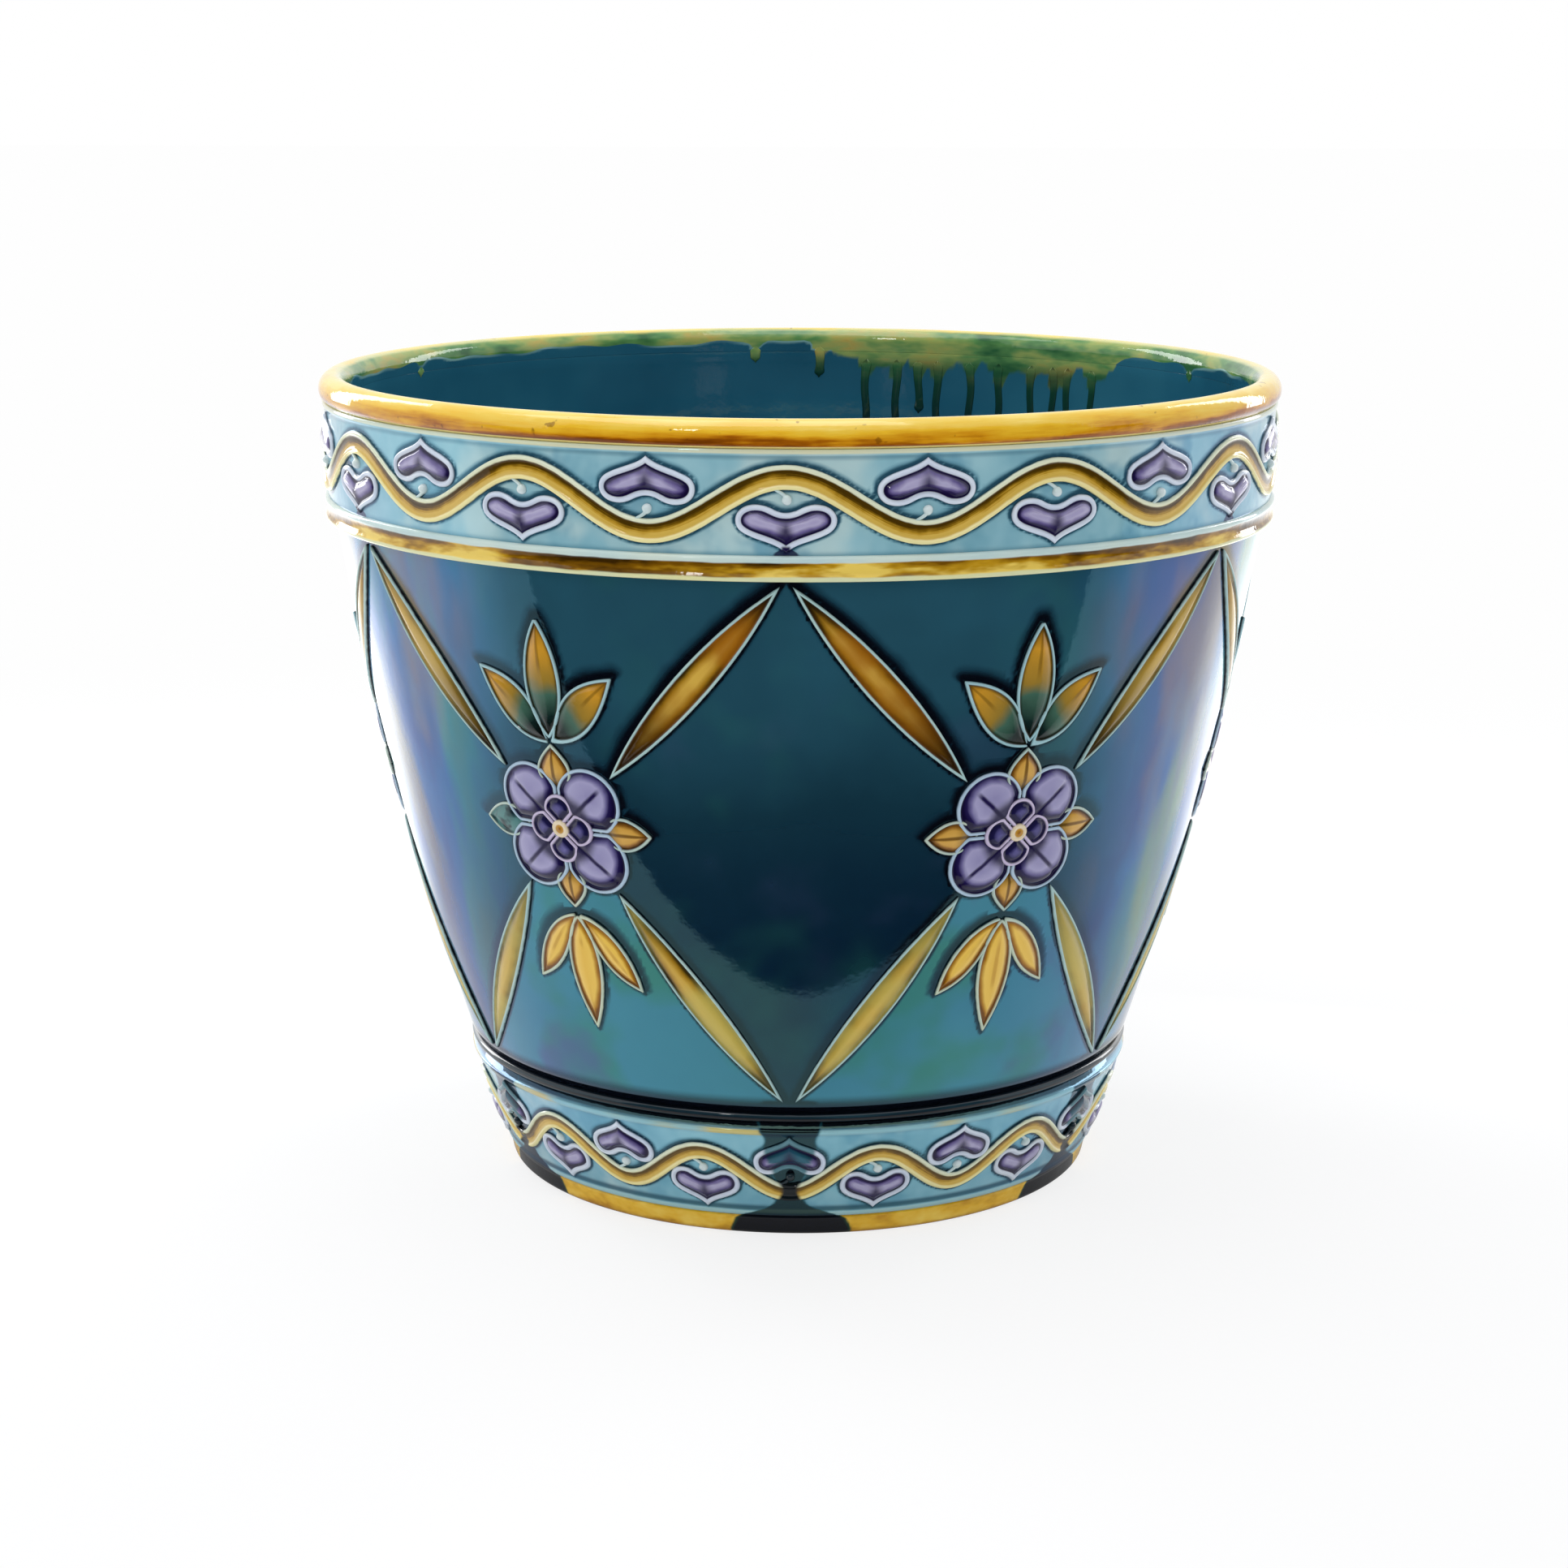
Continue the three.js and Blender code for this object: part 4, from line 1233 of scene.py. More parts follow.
def lower_band_glaze():
    pale, mid, thick = (160, 206, 216), (136, 188, 204), (98, 156, 178)
    glaze, colour, height = band_glaze("turquoise_lower", pale, mid, thick, (22, 48, 62))
    lip = glaze.step(height, 0.0472, 0.0477) * glaze.fade(height, 0.0497, 0.0501)
    gilt = glaze.step(glaze.noise(22, 1.0, offset=(2, 2, 9)), 0.5, 0.62)
    line = glaze.mix((150, 196, 205), (214, 196, 120), gilt)
    colour = glaze.mix(colour, line, lip)
    foot = glaze.fade(height, 0.0106, 0.0112)
    colour = glaze.mix(colour, (168, 204, 206), foot)
    seam = glaze.step(height, 0.0108, 0.0116) * glaze.fade(height, 0.0126, 0.0146)
    colour = glaze.mix(colour, (26, 66, 86), seam * 0.85)
    colour = glaze.mix(colour, INK, glaze.step(height, 0.0499, 0.0504))
    streak = glaze.noise(90, 2.0, stretch=(1, 1, 0.3), offset=(4, 4, 4))
    run = glaze.mark("run") + (streak - 0.5) * 0.6
    colour = glaze.mix(colour, (30, 82, 98), glaze.step(run, 0.12, 0.45))
    colour = glaze.mix(colour, INK, glaze.step(run, 0.26, 0.56))
    return glaze.fired(colour, films=glaze.lustre(), ripple=0.3)


def relief_line(glaze, pale, dark, fills, depth_shift=None, line=1.9, reach=9.0, run_fill=None):
    """A pale raised line along an edge, a dark rim inside it, and the fill of the cell beyond."""
    inset = glaze.mark("inset")
    sway = glaze.sway(0.5, 260, 1.0)
    inner = inset + sway
    if depth_shift is not None:
        inner = inner + depth_shift
    fill = glaze.ramp(inner / reach, *fills)
    edge = glaze.step(inset + sway * 0.5, 0.05, 0.42)
    within = glaze.step(inset + sway * 0.4, line - 0.1, line + 0.45)
    colour = glaze.mix(dark, pale, edge)
    colour = glaze.mix(colour, fill, within)
    run = glaze.step(glaze.mark("run"), 0.35, 0.8)
    line_in_run = glaze.mix((30, 56, 66), (96, 138, 150), edge)
    fill_in_run = run_fill or glaze.ramp(inner / reach, (0.25, INK), (0.6, (40, 96, 116)))
    dimmed = glaze.mix(line_in_run, fill_in_run, within)
    return glaze.mix(colour, dimmed, run)


VIOLET = (28, 20, 62)


def lattice_axis(glaze):
    """1 on the upright lines through the points of the lattice, and less the further from them."""
    x, y, _ = glaze.point()
    return glaze.maths("COSINE", glaze.maths("ARCTAN2", x, y * -1) * REPEATS)


def heart_glaze():
    """Lilac in the lobes, dark violet where the glaze ran to the rim and the lower end of the cell."""
    glaze = Glaze("lilac_hearts")
    rise = glaze.mark("along")
    shift = rise * 1.5 - 0.2 + glaze.sway(2.6, 110, 2.0, offset=(1, 1, 5))
    fills = (
        (0.2, (24, 16, 52)), (0.33, (46, 36, 84)), (0.46, (112, 102, 152)),
        (0.62, (178, 172, 204)), (0.95, (150, 142, 186)),
    )
    pale = glaze.mix((200, 212, 236), (232, 240, 246), glaze.noise(50))
    colour = relief_line(glaze, pale, (52, 86, 108), fills, shift, line=2.1)
    inset = glaze.mark("inset")
    rim = glaze.step(inset, 2.2, 2.5) * glaze.fade(inset, 3.0, 4.0)
    colour = glaze.mix(colour, (24, 15, 56), rim * 0.9)
    side = glaze.mark("side")
    sway = glaze.sway(2.4, 130, 2.0, offset=(7, 1, 5))
    middle = glaze.fade(side * 0.8 + rise * 2.6 + sway, -0.4, 3.6)
    middle = middle * glaze.step(rise, 0.8, -0.1) * glaze.step(inset, 2.1, 2.6)
    colour = glaze.mix(colour, VIOLET, middle * 0.9)
    tip = glaze.fade(side, 1.0, 2.2) * glaze.fade(rise, -0.78, -0.64)
    colour = glaze.mix(colour, VIOLET, tip * glaze.step(lattice_axis(glaze), 0.9, 0.95))
    return glaze.fired(colour)


def petal_glaze():
    """Lilac pillows either side of a dark vein, darkest at their lower edges and round the middle of
    the flower."""
    glaze = Glaze("lilac_petals")
    rise = glaze.mark("along")
    shift = rise * 2.1 - 0.6 + glaze.sway(2.2, 80, 2.0, offset=(4, 1, 5))
    fills = (
        (0.22, (22, 15, 54)), (0.36, (34, 26, 76)), (0.48, (104, 98, 146)),
        (0.64, (166, 162, 198)), (0.95, (146, 142, 182)),
    )
    pale = glaze.mix((160, 190, 214), (196, 214, 228), glaze.noise(60))
    colour = relief_line(glaze, pale, (16, 34, 48), fills, shift, line=1.35)
    within = glaze.step(glaze.mark("inset"), 1.4, 1.9)
    root = glaze.mark("root")
    vein = glaze.fade(glaze.mark("side"), 0.3, 1.4) * glaze.fade(root, 23, 28)
    colour = glaze.mix(colour, (34, 26, 72), vein * within)
    middle = glaze.fade(root, 12.5, 17.5)
    colour = glaze.mix(colour, (24, 18, 58), middle * within * 0.92)
    return glaze.fired(colour)


def inner_petal_glaze():
    glaze = Glaze("lilac_inner_petals")
    shift = glaze.sway(1.2, 160, 2.0, offset=(4, 8, 5))
    fills = (
        (0.2, (24, 20, 56)), (0.5, (28, 26, 68)), (0.72, (92, 88, 146)), (0.95, (176, 176, 216)),
    )
    pale = glaze.mix((192, 176, 208), (212, 202, 226), glaze.noise(60))
    colour = relief_line(glaze, pale, (22, 18, 50), fills, shift, line=1.3, reach=7.0)
    return glaze.fired(colour, ripple=0.2)


def boss_glaze():
    glaze = Glaze("gold_boss")
    fills = ((0.3, (150, 104, 40)), (0.6, (196, 146, 56)), (0.9, (150, 96, 24)))
    pale = glaze.mix((236, 222, 190), (226, 208, 176), glaze.noise(90))
    colour = relief_line(glaze, pale, (90, 70, 90), fills, line=1.9, reach=4.0)
    return glaze.fired(colour, ripple=0.2)


def trellis_glaze():
    """Gold leaves of the trellis, brown-black towards both tips."""
    glaze = Glaze("gold_trellis_leaves")
    along = glaze.mark("along") + glaze.sway(0.16, 40, 2.0, offset=(6, 1, 5))
    inset = glaze.mark("inset")
    fills = (
        (0.14, (24, 22, 8)), (0.26, (70, 52, 10)), (0.4, (168, 126, 32)), (0.62, (212, 172, 74)),
    )
    shift = glaze.sway(2.2, 70, 2.0, offset=(2, 1, 5))
    pale = glaze.mix((150, 192, 198), (198, 220, 208), glaze.noise(45))
    colour = relief_line(glaze, pale, (12, 26, 36), fills, shift, line=1.12)
    within = glaze.step(inset, 1.1, 1.5)
    _, y, height = glaze.point()
    upper = glaze.step(height, 0.165, 0.19)
    rust = glaze.step(glaze.noise(30, 3.0, offset=(8, 1, 2)), 0.3, 0.6)
    # On the upper leaves: pale olive-gold towards the flanks and orange-brown where they face front and
    # back, a painted sheen on the flanks.
    facing = glaze.step(glaze.maths("ABSOLUTE", y), 0.135, 0.165)
    warm = glaze.mix((186, 156, 74), (158, 96, 18), facing)
    amber = glaze.mix((196, 180, 92), warm, upper)
    colour = glaze.mix(colour, amber, rust * within * 0.8)
    tips = glaze.fade(along, 0.12, 0.55) * (0.3 + 0.7 * upper)
    apex = glaze.step(along, 0.72, 0.95)
    ends = glaze.maths("MAXIMUM", tips, apex)
    olive = glaze.mix((28, 34, 16), (30, 20, 8), upper)
    colour = glaze.mix(colour, olive, ends * within * 0.92)
    return glaze.fired(colour)


def drop_leaf_glaze():
    """Gold hanging leaves, brown in the folds and at the tips."""
    glaze = Glaze("gold_drop_leaves")
    fills = (
        (0.18, (118, 72, 12)), (0.28, (178, 124, 34)), (0.42, (238, 198, 92)), (0.8, (232, 188, 78)),
    )
    along = glaze.mark("along")
    sway = glaze.sway(1.8, 80, 2.0, offset=(2, 1, 5))
    shift = sway - glaze.step(along, 0.6, 1.0) * 1.4
    pale = glaze.mix((172, 204, 202), (222, 224, 184), glaze.noise(45))
    colour = relief_line(glaze, pale, (24, 60, 70), fills, shift, line=1.12)
    within = glaze.step(glaze.mark("inset"), 1.1, 1.5)
    tip = glaze.step(along, 0.82, 0.95) * within
    colour = glaze.mix(colour, (60, 34, 8), tip * 0.9)
    side = glaze.mark("side")
    fold = glaze.fade(side * side, 0.0, 0.03) * glaze.step(glaze.noise(60), 0.45, 0.6)
    colour = glaze.mix(colour, (176, 120, 34), fold * within * 0.5)
    return glaze.fired(colour)


def crown_leaf_glaze():
    """Ochre at the tips, olive and teal lower down, and black-brown where the leaves meet."""
    glaze = Glaze("gold_crown_leaves")
    along = glaze.mark("along") + glaze.sway(0.2, 60, 2.0, offset=(2, 1, 5))
    fill = glaze.ramp(
        along,
        (0.14, (9, 12, 12)), (0.27, (18, 38, 36)), (0.4, (66, 102, 86)),
        (0.5, (152, 122, 48)), (0.72, (206, 150, 44)), (0.94, (132, 88, 20)),
    )
    inset = glaze.mark("inset")
    sway = glaze.sway(0.9, 150, 2.0, offset=(5, 1, 5))
    rim = glaze.fade(inset + sway, 1.4, 2.8)
    fill = glaze.mix(fill, (30, 28, 10), rim * 0.9)
    side = glaze.mark("side")
    fold = glaze.fade(side * side, 0.0, 0.02)
    fill = glaze.mix(fill, (88, 62, 14), fold * glaze.step(along, 0.5, 0.62) * 0.5)
    pale = glaze.mix((146, 192, 202), (180, 212, 214), glaze.noise(45))
    edge = glaze.step(inset, 0.05, 0.42)
    line = glaze.mix((10, 22, 32), pale, edge)
    within = glaze.step(inset, 1.1, 1.5)
    colour = glaze.mix(line, fill, within)
    return glaze.fired(colour)


def sepal_glaze():
    """Ochre sepals with a brown vein and rim."""
    glaze = Glaze("gold_sepals")
    fills = (
        (0.18, (56, 34, 10)), (0.3, (140, 92, 30)), (0.44, (206, 158, 72)), (0.75, (214, 168, 84)),
    )
    shift = glaze.sway(2.4, 130, 2.0, offset=(2, 6, 5))
    pale = glaze.mix((160, 196, 198), (214, 218, 190), glaze.noise(45))
    colour = relief_line(glaze, pale, (12, 26, 36), fills, shift, line=1.12)
    within = glaze.step(glaze.mark("inset"), 1.1, 1.5)
    side = glaze.mark("side")
    vein = glaze.fade(side * side, 0.0, 0.02)
    colour = glaze.mix(colour, (84, 50, 12), vein * within * 0.8)
    root = glaze.fade(glaze.mark("along"), 0.3, 0.5)
    colour = glaze.mix(colour, (70, 56, 20), root * within * 0.6)
    x, y, _ = glaze.point()
    slant = x / glaze.maths("MINIMUM", y, -0.001)
    missed = glaze.step(slant, 0.7, 0.73) * glaze.fade(slant, 1.1, 1.3)
    blotch = glaze.step(glaze.noise(150, 2.0, offset=(3, 3, 3)), 0.42, 0.6)
    bare = glaze.mix((16, 38, 46), (84, 132, 130), blotch)
    colour = glaze.mix(colour, bare, missed * within)
    return glaze.fired(colour)


def vine_glaze(name, thick):
    """Cream lines along both edges of a vine and an ochre channel between them, brown at its top."""
    glaze = Glaze(name)
    inset = glaze.mark("inset")
    side = glaze.mark("along")
    mottle = glaze.noise(75, 3.0, 0.6, offset=(1, 4, 2))
    x, y, _ = glaze.point()
    turn = glaze.maths("ARCTAN2", x, y)
    combed = glaze.node("ShaderNodeCombineXYZ", sockets={0: side * 9, 1: turn * 9})
    combed = glaze.noise(1, 2.0, where=combed)
    # Darker brown towards the channel's top and lighter gold towards its foot: partly the glaze's own
    # tone, partly painted shade above and a painted highlight below.
    channel = glaze.ramp(
        side * 0.9 + 0.5 + (mottle - 0.5) * 0.6 + (combed - 0.5) * 0.5,
        (0.25, (218, 182, 84)), (0.45, (190, 148, 44)), (0.6, (126, 92, 16)), (0.76, thick),
    )
    yellow = glaze.mix((248, 240, 184), (240, 222, 140), glaze.noise(36, 2.0))
    cream = glaze.mix(yellow, (228, 234, 206), glaze.step(side, -0.2, 0.9))
    sway = glaze.sway(0.4, 240, 1.0)
    edge = glaze.step(inset + sway, 0.05, 0.42)
    line = glaze.mix((58, 96, 108), cream, edge)
    within = glaze.step(inset + sway, 1.6, 2.3)
    colour = glaze.mix(line, channel, within)
    run = glaze.step(glaze.mark("run"), 0.3, 0.75)
    return glaze.fired(glaze.mix(colour, (14, 22, 26), run))


def tendril_glaze():
    glaze = Glaze("turquoise_tendrils")
    colour = glaze.mix((196, 218, 214), (236, 242, 240), glaze.mark("along"))
    colour = glaze.mix(colour, (160, 200, 208), glaze.noise(120) * 0.5)
    run = glaze.step(glaze.mark("run"), 0.3, 0.75)
    return glaze.fired(glaze.mix(colour, (24, 40, 48), run), ripple=0.2)


def inside_teal(glaze):
    return glaze.ramp(
        glaze.noise(12, 3.0, 0.5, offset=(3, 3, 1)),
        (0.3, (28, 84, 108)), (0.5, (36, 98, 122)), (0.7, (48, 112, 134)),
    )


def green_wash(glaze):
    """Green that ran down inside from the rim, yellow and rust where it is thin."""
    return glaze.ramp(
        glaze.noise(30, 3.0, 0.6, stretch=(1, 1, 3), offset=(3, 2, 1)),
        (0.34, (52, 106, 62)), (0.46, (94, 146, 84)), (0.58, (158, 176, 98)),
        (0.68, (188, 172, 90)), (0.76, (164, 106, 44)),
    )


def green_on_wall(glaze):
    """The same green below the rim, where it thickens as it runs down."""
    height = glaze.point()[2]
    thick = glaze.step(height, 0.3275, 0.3185)
    return glaze.mix(green_wash(glaze), (34, 88, 54), thick * 0.85)


def rim_glaze():
    """Amber over the rim: pale and yellow on top, partly a painted highlight, brown along its foot, green
    inside.
    """
    glaze = Glaze("amber_rim")
    height = glaze.mark("height")
    streak = glaze.noise(20, 4.0, 0.6, stretch=(1, 1, 11))
    blot = glaze.noise(110, 2.0, offset=(5, 5, 2))
    level = (height - RIM_FOOT) / (RIM_TOP - RIM_FOOT) + (streak - 0.5) * 1.25 + (blot - 0.5) * 0.2
    # Brown towards the rim's foot and pale yellow towards its top, broken into streaks; the pale top is
    # partly a painted highlight.
    colour = glaze.ramp(
        level,
        (0.06, (118, 58, 4)), (0.2, (164, 92, 8)), (0.36, (214, 148, 22)),
        (0.6, (238, 188, 46)), (0.82, (240, 202, 76)), (1.0, (247, 218, 112)),
    )
    fleck = glaze.step(glaze.noise(190, 2.0, offset=(9, 2, 2)), 0.68, 0.74)
    colour = glaze.mix(colour, (110, 60, 8), fleck * 0.6)
    # A cream line along the rim's foot, which also lays painted light over the shade in the gap beneath
    # the rim.
    cream = glaze.fade(height, RIM_FOOT + 0.4, RIM_FOOT + 0.8)
    colour = glaze.mix(colour, (232, 210, 130), cream)
    x, y, _ = glaze.point()
    radius = glaze.maths("SQRT", x * x + y * y)
    sway = glaze.noise(24, 4.0, 0.6, offset=(1, 2, 9))
    inner = glaze.fade(radius + (sway - 0.5) * 0.01, 0.1905, 0.1935)
    # A pale band along the rim's inner crest: a painted highlight.
    painted_crest_highlight = glaze.step(height, RIM_TOP - 1.5, RIM_TOP - 0.4)
    green = glaze.mix(green_wash(glaze), (232, 226, 156), painted_crest_highlight * 0.7)
    colour = glaze.mix(colour, green, inner)
    teal = inside_teal(glaze)
    thin = glaze.mix(teal, (136, 184, 180), glaze.step(glaze.noise(20, 2.0), 0.4, 0.6))
    wash = glaze.mark("wash")
    colour = glaze.mix(colour, thin, inner * glaze.fade(wash, 0.45, 0.6))
    colour = glaze.mix(colour, teal, inner * glaze.fade(wash, 0.1, 0.4))
    return glaze.fired(colour, ripple=0.4)


def moulding_glaze():
    """Two pale lines with a channel of ochre between them, which pooled brown in places."""
    glaze = Glaze("amber_moulding")
    height = glaze.mark("height")
    mottle = glaze.noise(20, 4.0, 0.6, stretch=(1, 1, 4), offset=(4, 2, 1))
    # A little darker in the channel's upper half, which faces down: painted shade.
    level = mottle - glaze.step(height, PANEL_TOP + 3.9, PANEL_TOP + 6.6) * 0.1
    channel = glaze.ramp(
        level,
        (0.31, (60, 38, 4)), (0.42, (128, 86, 8)), (0.5, (196, 150, 30)), (0.58, (242, 210, 98)),
    )
    sway = glaze.sway(1.2, 60, 2.0, offset=(7, 2, 1))
    top = glaze.step(height + sway, PANEL_TOP + 6.7, PANEL_TOP + 7.4)
    foot = glaze.fade(height + sway, PANEL_TOP + 1.4, PANEL_TOP + 2.2)
    upper_line = glaze.mix((166, 206, 220), (232, 238, 214), glaze.noise(22))
    yellow = glaze.noise(22, offset=(2, 0, 0))
    lower_line = glaze.mix((240, 230, 150), (206, 220, 196), yellow)
    colour = glaze.mix(channel, upper_line, top)
    colour = glaze.mix(colour, lower_line, foot)
    shadow = glaze.fade(height, PANEL_TOP - 0.2, PANEL_TOP + 0.2)
    colour = glaze.mix(colour, (70, 96, 84), shadow * 0.7)
    return glaze.fired(colour, ripple=0.4)


def bead_glaze():
    glaze = Glaze("teal_waist_bead")
    height = glaze.mark("height")
    thin = glaze.step(glaze.noise(14, 2.0, offset=(4, 2, 1)), 0.4, 0.7)
    # Lighter along the bead's crest: partly a painted highlight, partly glaze lying thin over it in
    # clouds.
    painted_crest_highlight = glaze.step(height, BEAD_MIDDLE - 0.3, BEAD_MIDDLE + 0.5)
    painted_crest_highlight = painted_crest_highlight * glaze.fade(height, BEAD_MIDDLE + 0.9, BEAD_MIDDLE + 1.7)
    colour = glaze.mix(INK, (48, 86, 100), painted_crest_highlight * (0.25 + thin * 0.6))
    return glaze.fired(colour, ripple=0.2)


def foot_glaze():
    """Gold over the foot, crossed by the dark runs from the lattice."""
    glaze = Glaze("gold_foot")
    mottle = glaze.noise(55, 3.0, 0.6, stretch=(1, 1, 2))
    colour = glaze.ramp(
        mottle,
        (0.3, (200, 142, 32)), (0.5, (240, 190, 56)), (0.7, (252, 216, 96)),
    )
    height = glaze.mark("height")
    brown = glaze.fade(height + (mottle - 0.5) * 6, 0.6, 3.6)
    colour = glaze.mix(colour, (160, 98, 20), brown * 0.55)
    run = glaze.mark("run") + glaze.sway(0.5, 60, 3.0)
    teal = glaze.step(run, 0.18, 0.45)
    colour = glaze.mix(colour, (34, 62, 44), teal)
    colour = glaze.mix(colour, INK, glaze.step(run, 0.4, 0.7))
    under = glaze.fade(height, 0.15, 0.5)
    colour = glaze.mix(colour, (206, 188, 150), under)
    return glaze.fired(colour, 0.06, ripple=0.3)


def inside_glaze():
    """Teal inside, washed green at the rim, with a biscuit underside."""
    glaze = Glaze("teal_inside")
    colour = inside_teal(glaze)
    wash = glaze.mark("wash")
    ragged = glaze.noise(120, 3.0, 0.6, offset=(1, 8, 3))
    amount = glaze.step(wash + (ragged - 0.5) * 0.5, 0.25, 0.7)
    colour = glaze.mix(colour, green_on_wall(glaze), amount)
    inside = glaze.mark("inside")
    speckle = glaze.noise(900, 2.0, offset=(2, 2, 2))
    biscuit = glaze.ramp(speckle, (0.3, (186, 166, 128)), (0.7, (214, 198, 162)))
    stain = glaze.step(glaze.noise(26, 4.0, 0.65, offset=(9, 4, 4)), 0.52, 0.6)
    biscuit = glaze.mix(biscuit, (60, 104, 108), stain * 0.85)
    colour = glaze.mix(biscuit, colour, inside)
    return glaze.fired(colour, 0.06, ripple=0.2)


def drip_glaze():
    glaze = Glaze("green_drips")
    along = glaze.mark("along") + glaze.sway(0.1, 200, 2.0)
    thick = glaze.ramp(along, (0.3, (22, 66, 46)), (0.95, (10, 36, 42)))
    colour = glaze.mix(green_on_wall(glaze), thick, glaze.step(along, 0.06, 0.4))
    return glaze.fired(colour, ripple=0.15)


# ---------------------------------------------------------------- the pot's pieces


def nodes_of(*starts):
    return [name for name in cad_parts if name.startswith(starts)]


def make_walls():
    for name, skins, marks, glaze, slot in (
        ("panel_wall", [panel_wall()], WALL_MARKS, panel_glaze(), "teal_glaze"),
        ("upper_band_ground", [upper_band_wall()], WALL_MARKS, upper_band_glaze(), "turquoise_glaze"),
        ("lower_band_ground", [lower_band_wall()], WALL_MARKS, lower_band_glaze(), "turquoise_glaze"),
        ("inside_wall", [inside_wall()], ("wash", "inside"), inside_glaze(), "teal_glaze"),
        ("inside_drips", drips(), ("along",), drip_glaze(), "teal_glaze"),
    ):
        piece_of(name, mesh_of(name, skins, marks), glaze, slot, "vessel")


def make_rings():
    for name, profile, glaze, slot, node in (
        ("rim", rim_profile(), rim_glaze(), "amber_glaze", "rim_roll"),
        ("moulding", moulding_profile(), moulding_glaze(), "amber_glaze", "band_moulding"),
        ("bead", bead_profile(), bead_glaze(), "teal_glaze", "waist_bead"),
        ("foot", foot_profile(), foot_glaze(), "gold_glaze", "foot_ring"),
    ):
        mesh = mesh_of(name, [ring_skin(profile)], RING_MARKS)
        piece_of(name + "_turned", mesh, glaze, slot, node)


def make_borders():
    for name, border in BORDERS.items():
        node = name + "_vine_border"
        loops = vine_loops(border["middle"], border["phase"], border["swing"], border["width"])
        brown = (74, 52, 8) if name == "upper" else (92, 68, 14)
        vine = mesh_of(name + "_vine", [skin(loops, is_ring=True)], RELIEF_MARKS)
        piece_of(name + "_vine", vine, vine_glaze(name + "_amber_vine", brown), "amber_glaze", node)
        hearts = mesh_of(name + "_hearts", heart_cells(border), RELIEF_MARKS)
        hearts = ring_of(hearts, HEARTS)
        piece_of(name + "_hearts", hearts, HEARTS, "lilac_glaze", node)
        curls = ring_of(mesh_of(name + "_tendrils", tendrils(border), RELIEF_MARKS), TENDRILS)
        piece_of(name + "_tendrils", curls, TENDRILS, "turquoise_glaze", node)


def make_flowers():
    flowers = nodes_of("rosette_")
    for name, skins, glaze, slot in (
        ("rosette_petals", rosette_petals(), petal_glaze(), "lilac_glaze"),
        ("rosette_inner_petals", rosette_inner_petals(), inner_petal_glaze(), "lilac_glaze"),
        ("rosette_bosses", rosette_boss(), boss_glaze(), "gold_glaze"),
        ("rosette_sepals", leaves_of(sepals(), 26, 0.8), sepal_glaze(), "gold_glaze"),
    ):
        ring = ring_of(mesh_of(name, skins, RELIEF_MARKS), glaze)
        piece_of(name, ring, glaze, slot, *flowers)


def make_leaves():
    upper = [trellis_edges(side, 1) for side in (-1, 1)]
    lower = [trellis_edges(side, -1) for side in (-1, 1)]
    for name, edges, glaze, stations, nodes in (
        ("crown_leaves", crown_leaves(), crown_leaf_glaze(), 34, nodes_of("crown_spray_")),
        ("drop_leaves", drop_leaves(), drop_leaf_glaze(), 34, nodes_of("drop_spray_")),
        ("trellis_leaves", upper + lower, trellis_glaze(), 80, nodes_of("trellis_leaf_")),
    ):
        ring = ring_of(mesh_of(name, leaves_of(edges, stations), RELIEF_MARKS), glaze)
        piece_of(name, ring, glaze, "gold_glaze", *nodes)


HEARTS = heart_glaze()
TENDRILS = tendril_glaze()

make_walls()
make_rings()
make_borders()
make_flowers()
make_leaves()

# ---------------------------------------------------------------- table, lights and camera

FLOOR_PALE = (246, 246, 247)
TABLE_FRONT = -0.26
TABLE_SLANT_LEFT = 0.188
TABLE_SLANT_RIGHT = -0.03


def floor_finish():
    """A pale table. In the glaze it is white behind the pot, and dimmer up to its front edge."""
    floor = Glaze("pale_table")
    x, y, _ = floor.point()
    seen = floor.node("ShaderNodeLightPath", output="Is Camera Ray")
    mirrored_ray = floor.node("ShaderNodeLightPath", output="Is Glossy Ray")
    grain = floor.noise(300, 2.0)
    paper = floor.mix(FLOOR_PALE, (250, 250, 251), grain)
    lit = floor.node("ShaderNodeBsdfDiffuse", sockets={"Color": paper})
    away = floor.maths("SQRT", x * x + y * y)
    far = floor.step(away, 0.45, 1.3)
    white = (254, 254, 254)
    glow = floor.node("ShaderNodeEmission", sockets={"Color": white, "Strength": 1.0})
    share = seen * (0.8 + far * 0.2)
    surface = floor.node("ShaderNodeMixShader", sockets={0: share, 1: lit, 2: glow})
    front = y - x * floor.step(x, -0.08, 0.08, TABLE_SLANT_LEFT, TABLE_SLANT_RIGHT)
    level = floor.step(front, TABLE_FRONT, 0.05, 0.42, 1.0)
    edge = floor.step(front, TABLE_FRONT - 0.004, TABLE_FRONT + 0.004)
    # Round the foot the glow that the glaze reflects drops to a third: a painted shadow of the pot on the
    # table.
    level = level * edge * floor.step(away, 0.12, 0.17, 0.3, 1.0)
    tone = floor.node("ShaderNodeCombineColor", sockets={0: level, 1: level, 2: level})
    sheen = floor.node("ShaderNodeEmission", sockets={"Color": tone, "Strength": 1.0})
    surface = floor.node("ShaderNodeMixShader", sockets={0: mirrored_ray, 1: surface, 2: sheen})
    floor.node("ShaderNodeOutputMaterial", sockets={"Surface": surface})
    return floor.block


def make_floor():
    size = 14
    corners = [(-size, -size, 0), (size, -size, 0), (size, size, 0), (-size, size, 0)]
    mesh = bpy.data.meshes.new("table_top")
    mesh.from_pydata(corners, [], [(0, 1, 2, 3)])
    mesh.materials.append(floor_finish())
    table = bpy.data.objects.new("table_top", mesh)
    bpy.context.collection.objects.link(table)


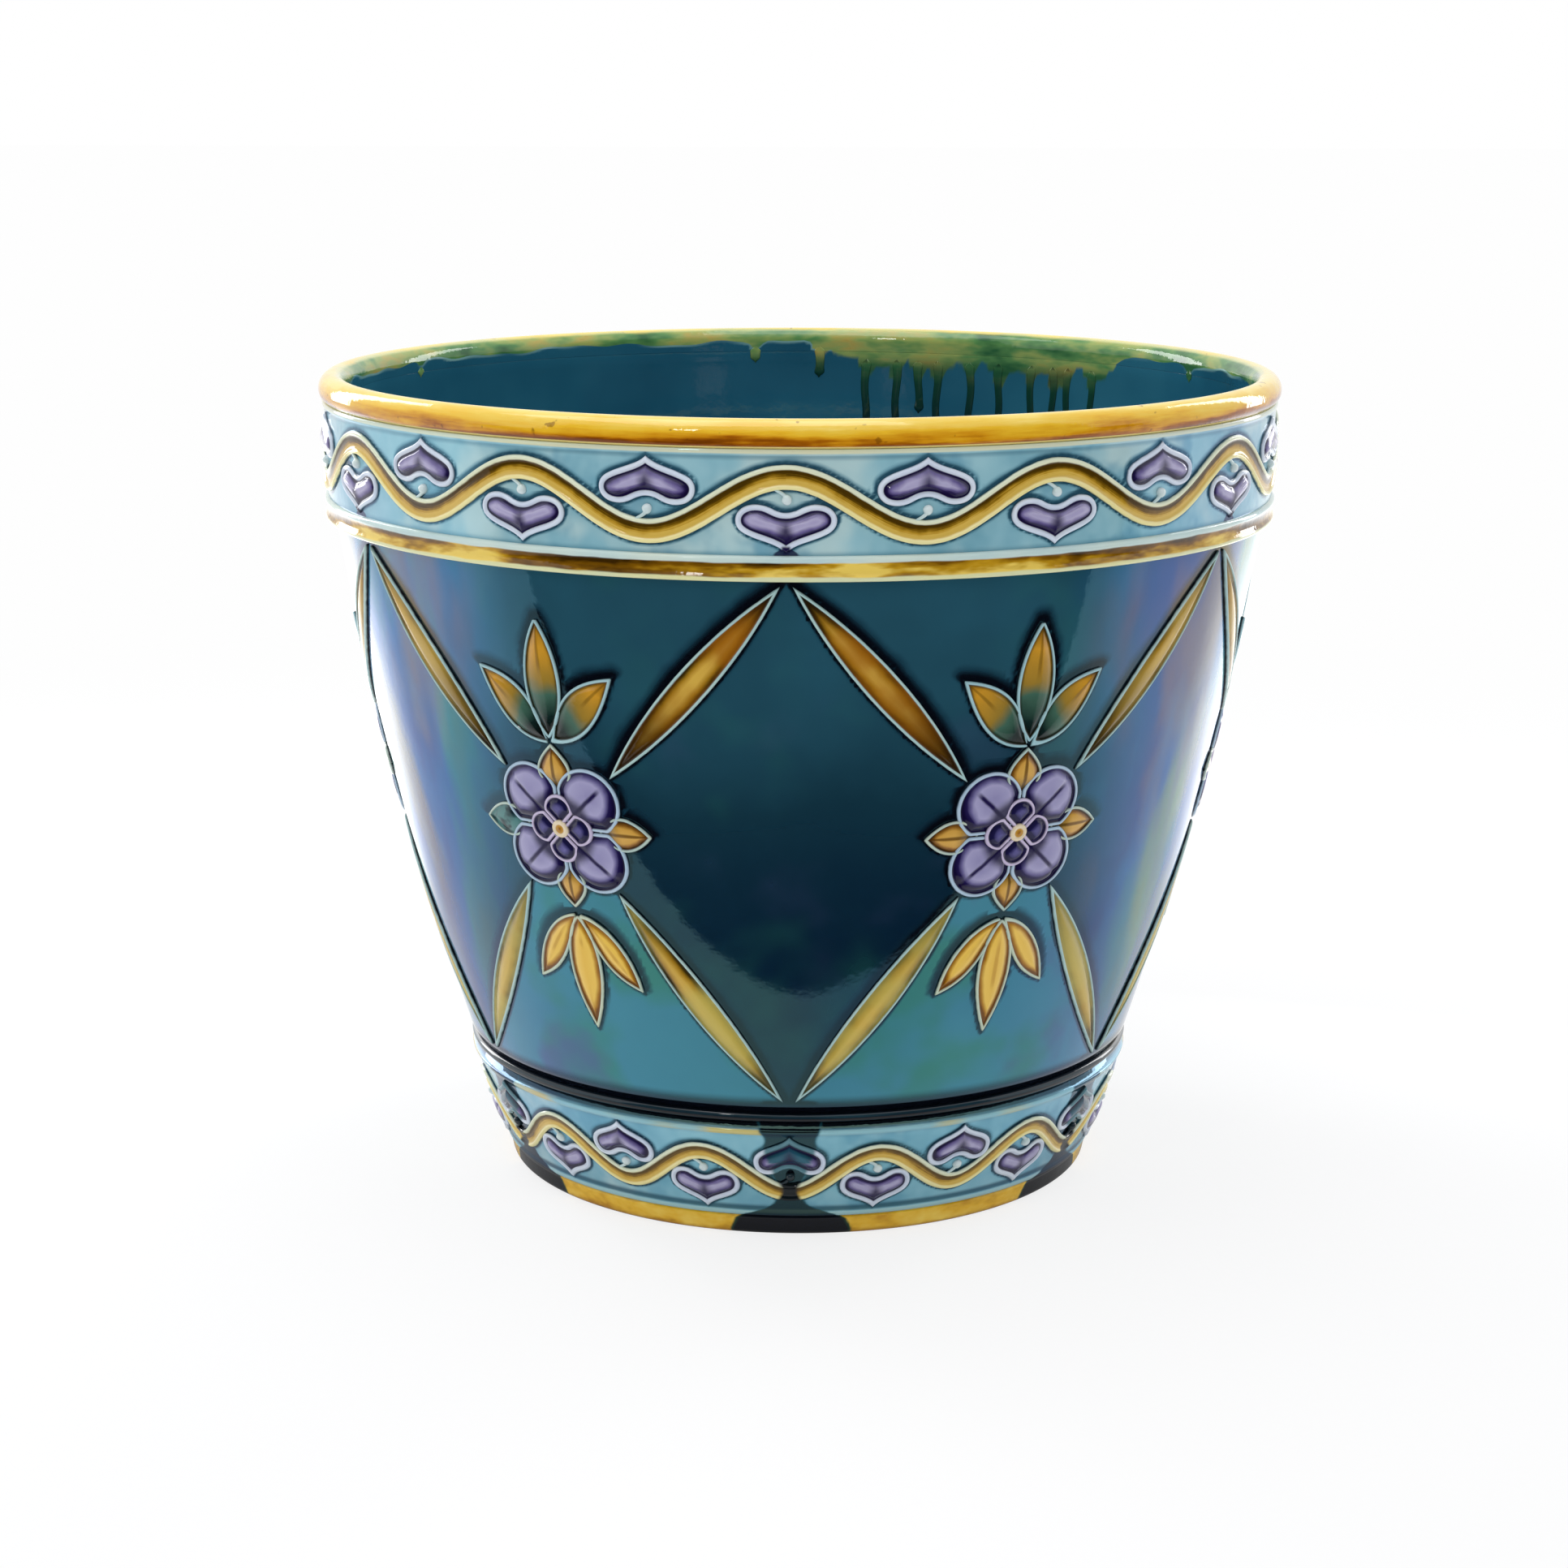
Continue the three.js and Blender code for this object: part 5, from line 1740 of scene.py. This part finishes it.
def make_world():
    """Plain pale light all round. The glaze sees pale walls behind and beside it, and a dim room in
    front."""
    sky = Glaze("studio", "world")
    direction = sky.node("ShaderNodeTexCoord", output="Generated")
    x, y, z = sky.parts_of(direction)
    level = sky.maths("SQRT", x * x + y * y + 0.0001)
    facing = (y - x * 0.1) / level
    ahead = sky.step(facing, -0.4, -0.44)
    behind = sky.step(facing, 0.2, 0.8)
    seen = sky.node("ShaderNodeLightPath", output="Is Camera Ray")
    mirrored_ray = sky.node("ShaderNodeLightPath", output="Is Glossy Ray")
    walls = sky.mix((236, 238, 240), (1, 1, 1, 1), behind)
    room = sky.mix(walls, (40, 46, 52), ahead)
    up = sky.step(z, 0.55, 0.75)
    room = sky.mix(room, (235, 238, 240), up)
    colour = sky.mix((212, 213, 215), room, mirrored_ray)
    colour = sky.mix(colour, (1, 1, 1, 1), seen)
    light = sky.node("ShaderNodeBackground", sockets={"Color": colour, "Strength": 1.0})
    sky.node("ShaderNodeOutputWorld", sockets={"Surface": light})
    bpy.context.scene.world = sky.block


def lamp(name, place, aim, size, power):
    light = bpy.data.lights.new(name, "AREA")
    light.shape = "RECTANGLE"
    light.size, light.size_y = size
    light.energy = power
    body = bpy.data.objects.new(name, light)
    body.location = place
    body.rotation_euler = (Vector(aim) - Vector(place)).to_track_quat("-Z", "Y").to_euler()
    body.visible_camera = False
    bpy.context.collection.objects.link(body)
    return light


def soft_card(name, place, aim, size, power):
    """A pale card beside the pot, whose light fades towards its edges."""
    card = Glaze(name, "light", lamp(name, place, aim, size, power))
    across, up, _ = card.parts_of(card.node("ShaderNodeNewGeometry", output="Parametric"))
    fade = card.step(across, 0.0, 0.5) * card.step(across, 1.0, 0.5)
    fade = fade * card.step(up, 0.0, 0.5) * card.step(up, 1.0, 0.5)
    glow = card.node("ShaderNodeEmission", sockets={"Color": (1, 1, 1, 1), "Strength": fade * 4})
    card.node("ShaderNodeOutputLight", sockets={"Surface": glow})


def make_lights():
    middle = (0, 0, 0.2)
    lamp("overhead", (-0.3, -0.1, 1.9), middle, (1.4, 1.4), 14)
    lamp("left_strip", (-1.15, 0.95, 0.75), middle, (0.4, 1.3), 9)
    lamp("right_strip", (1.15, 0.95, 0.75), middle, (0.3, 1.3), 6)
    lamp("window", (-0.7, -1.5, 1.35), middle, (0.12, 0.3), 1.6)
    soft_card("left_card", (-0.3, 0.215, 0.14), (-0.22, -0.065, 0.17), (0.42, 0.3), 0.235)
    soft_card("right_card", (0.3, 0.215, 0.14), (0.22, -0.065, 0.17), (0.42, 0.3), 0.155)


CAMERA_TURN = 0.0245
CAMERA_YAW = 0.0046
CAMERA_PITCH = 0.2219
CAMERA_ROLL = 0.0013
CAMERA_AWAY = 1.3819
CAMERA_HEIGHT = 0.4706
FOCAL_LENGTH = 75.51


def make_camera():
    data = bpy.data.cameras.new("camera")
    data.lens = FOCAL_LENGTH
    data.sensor_width = 36
    camera = bpy.data.objects.new("camera", data)
    x = CAMERA_AWAY * math.sin(CAMERA_TURN)
    y = -CAMERA_AWAY * math.cos(CAMERA_TURN)
    heading = Matrix.Rotation(CAMERA_TURN + CAMERA_YAW, 4, "Z")
    tilt = Matrix.Rotation(math.pi / 2 - CAMERA_PITCH, 4, "X")
    roll = Matrix.Rotation(CAMERA_ROLL, 4, "Z")
    place = Matrix.Translation((x, y, CAMERA_HEIGHT))
    camera.matrix_world = place @ heading @ tilt @ roll
    bpy.context.collection.objects.link(camera)
    bpy.context.scene.camera = camera


make_floor()
make_world()
make_lights()
make_camera()
bpy.context.scene.view_settings.view_transform = "Standard"
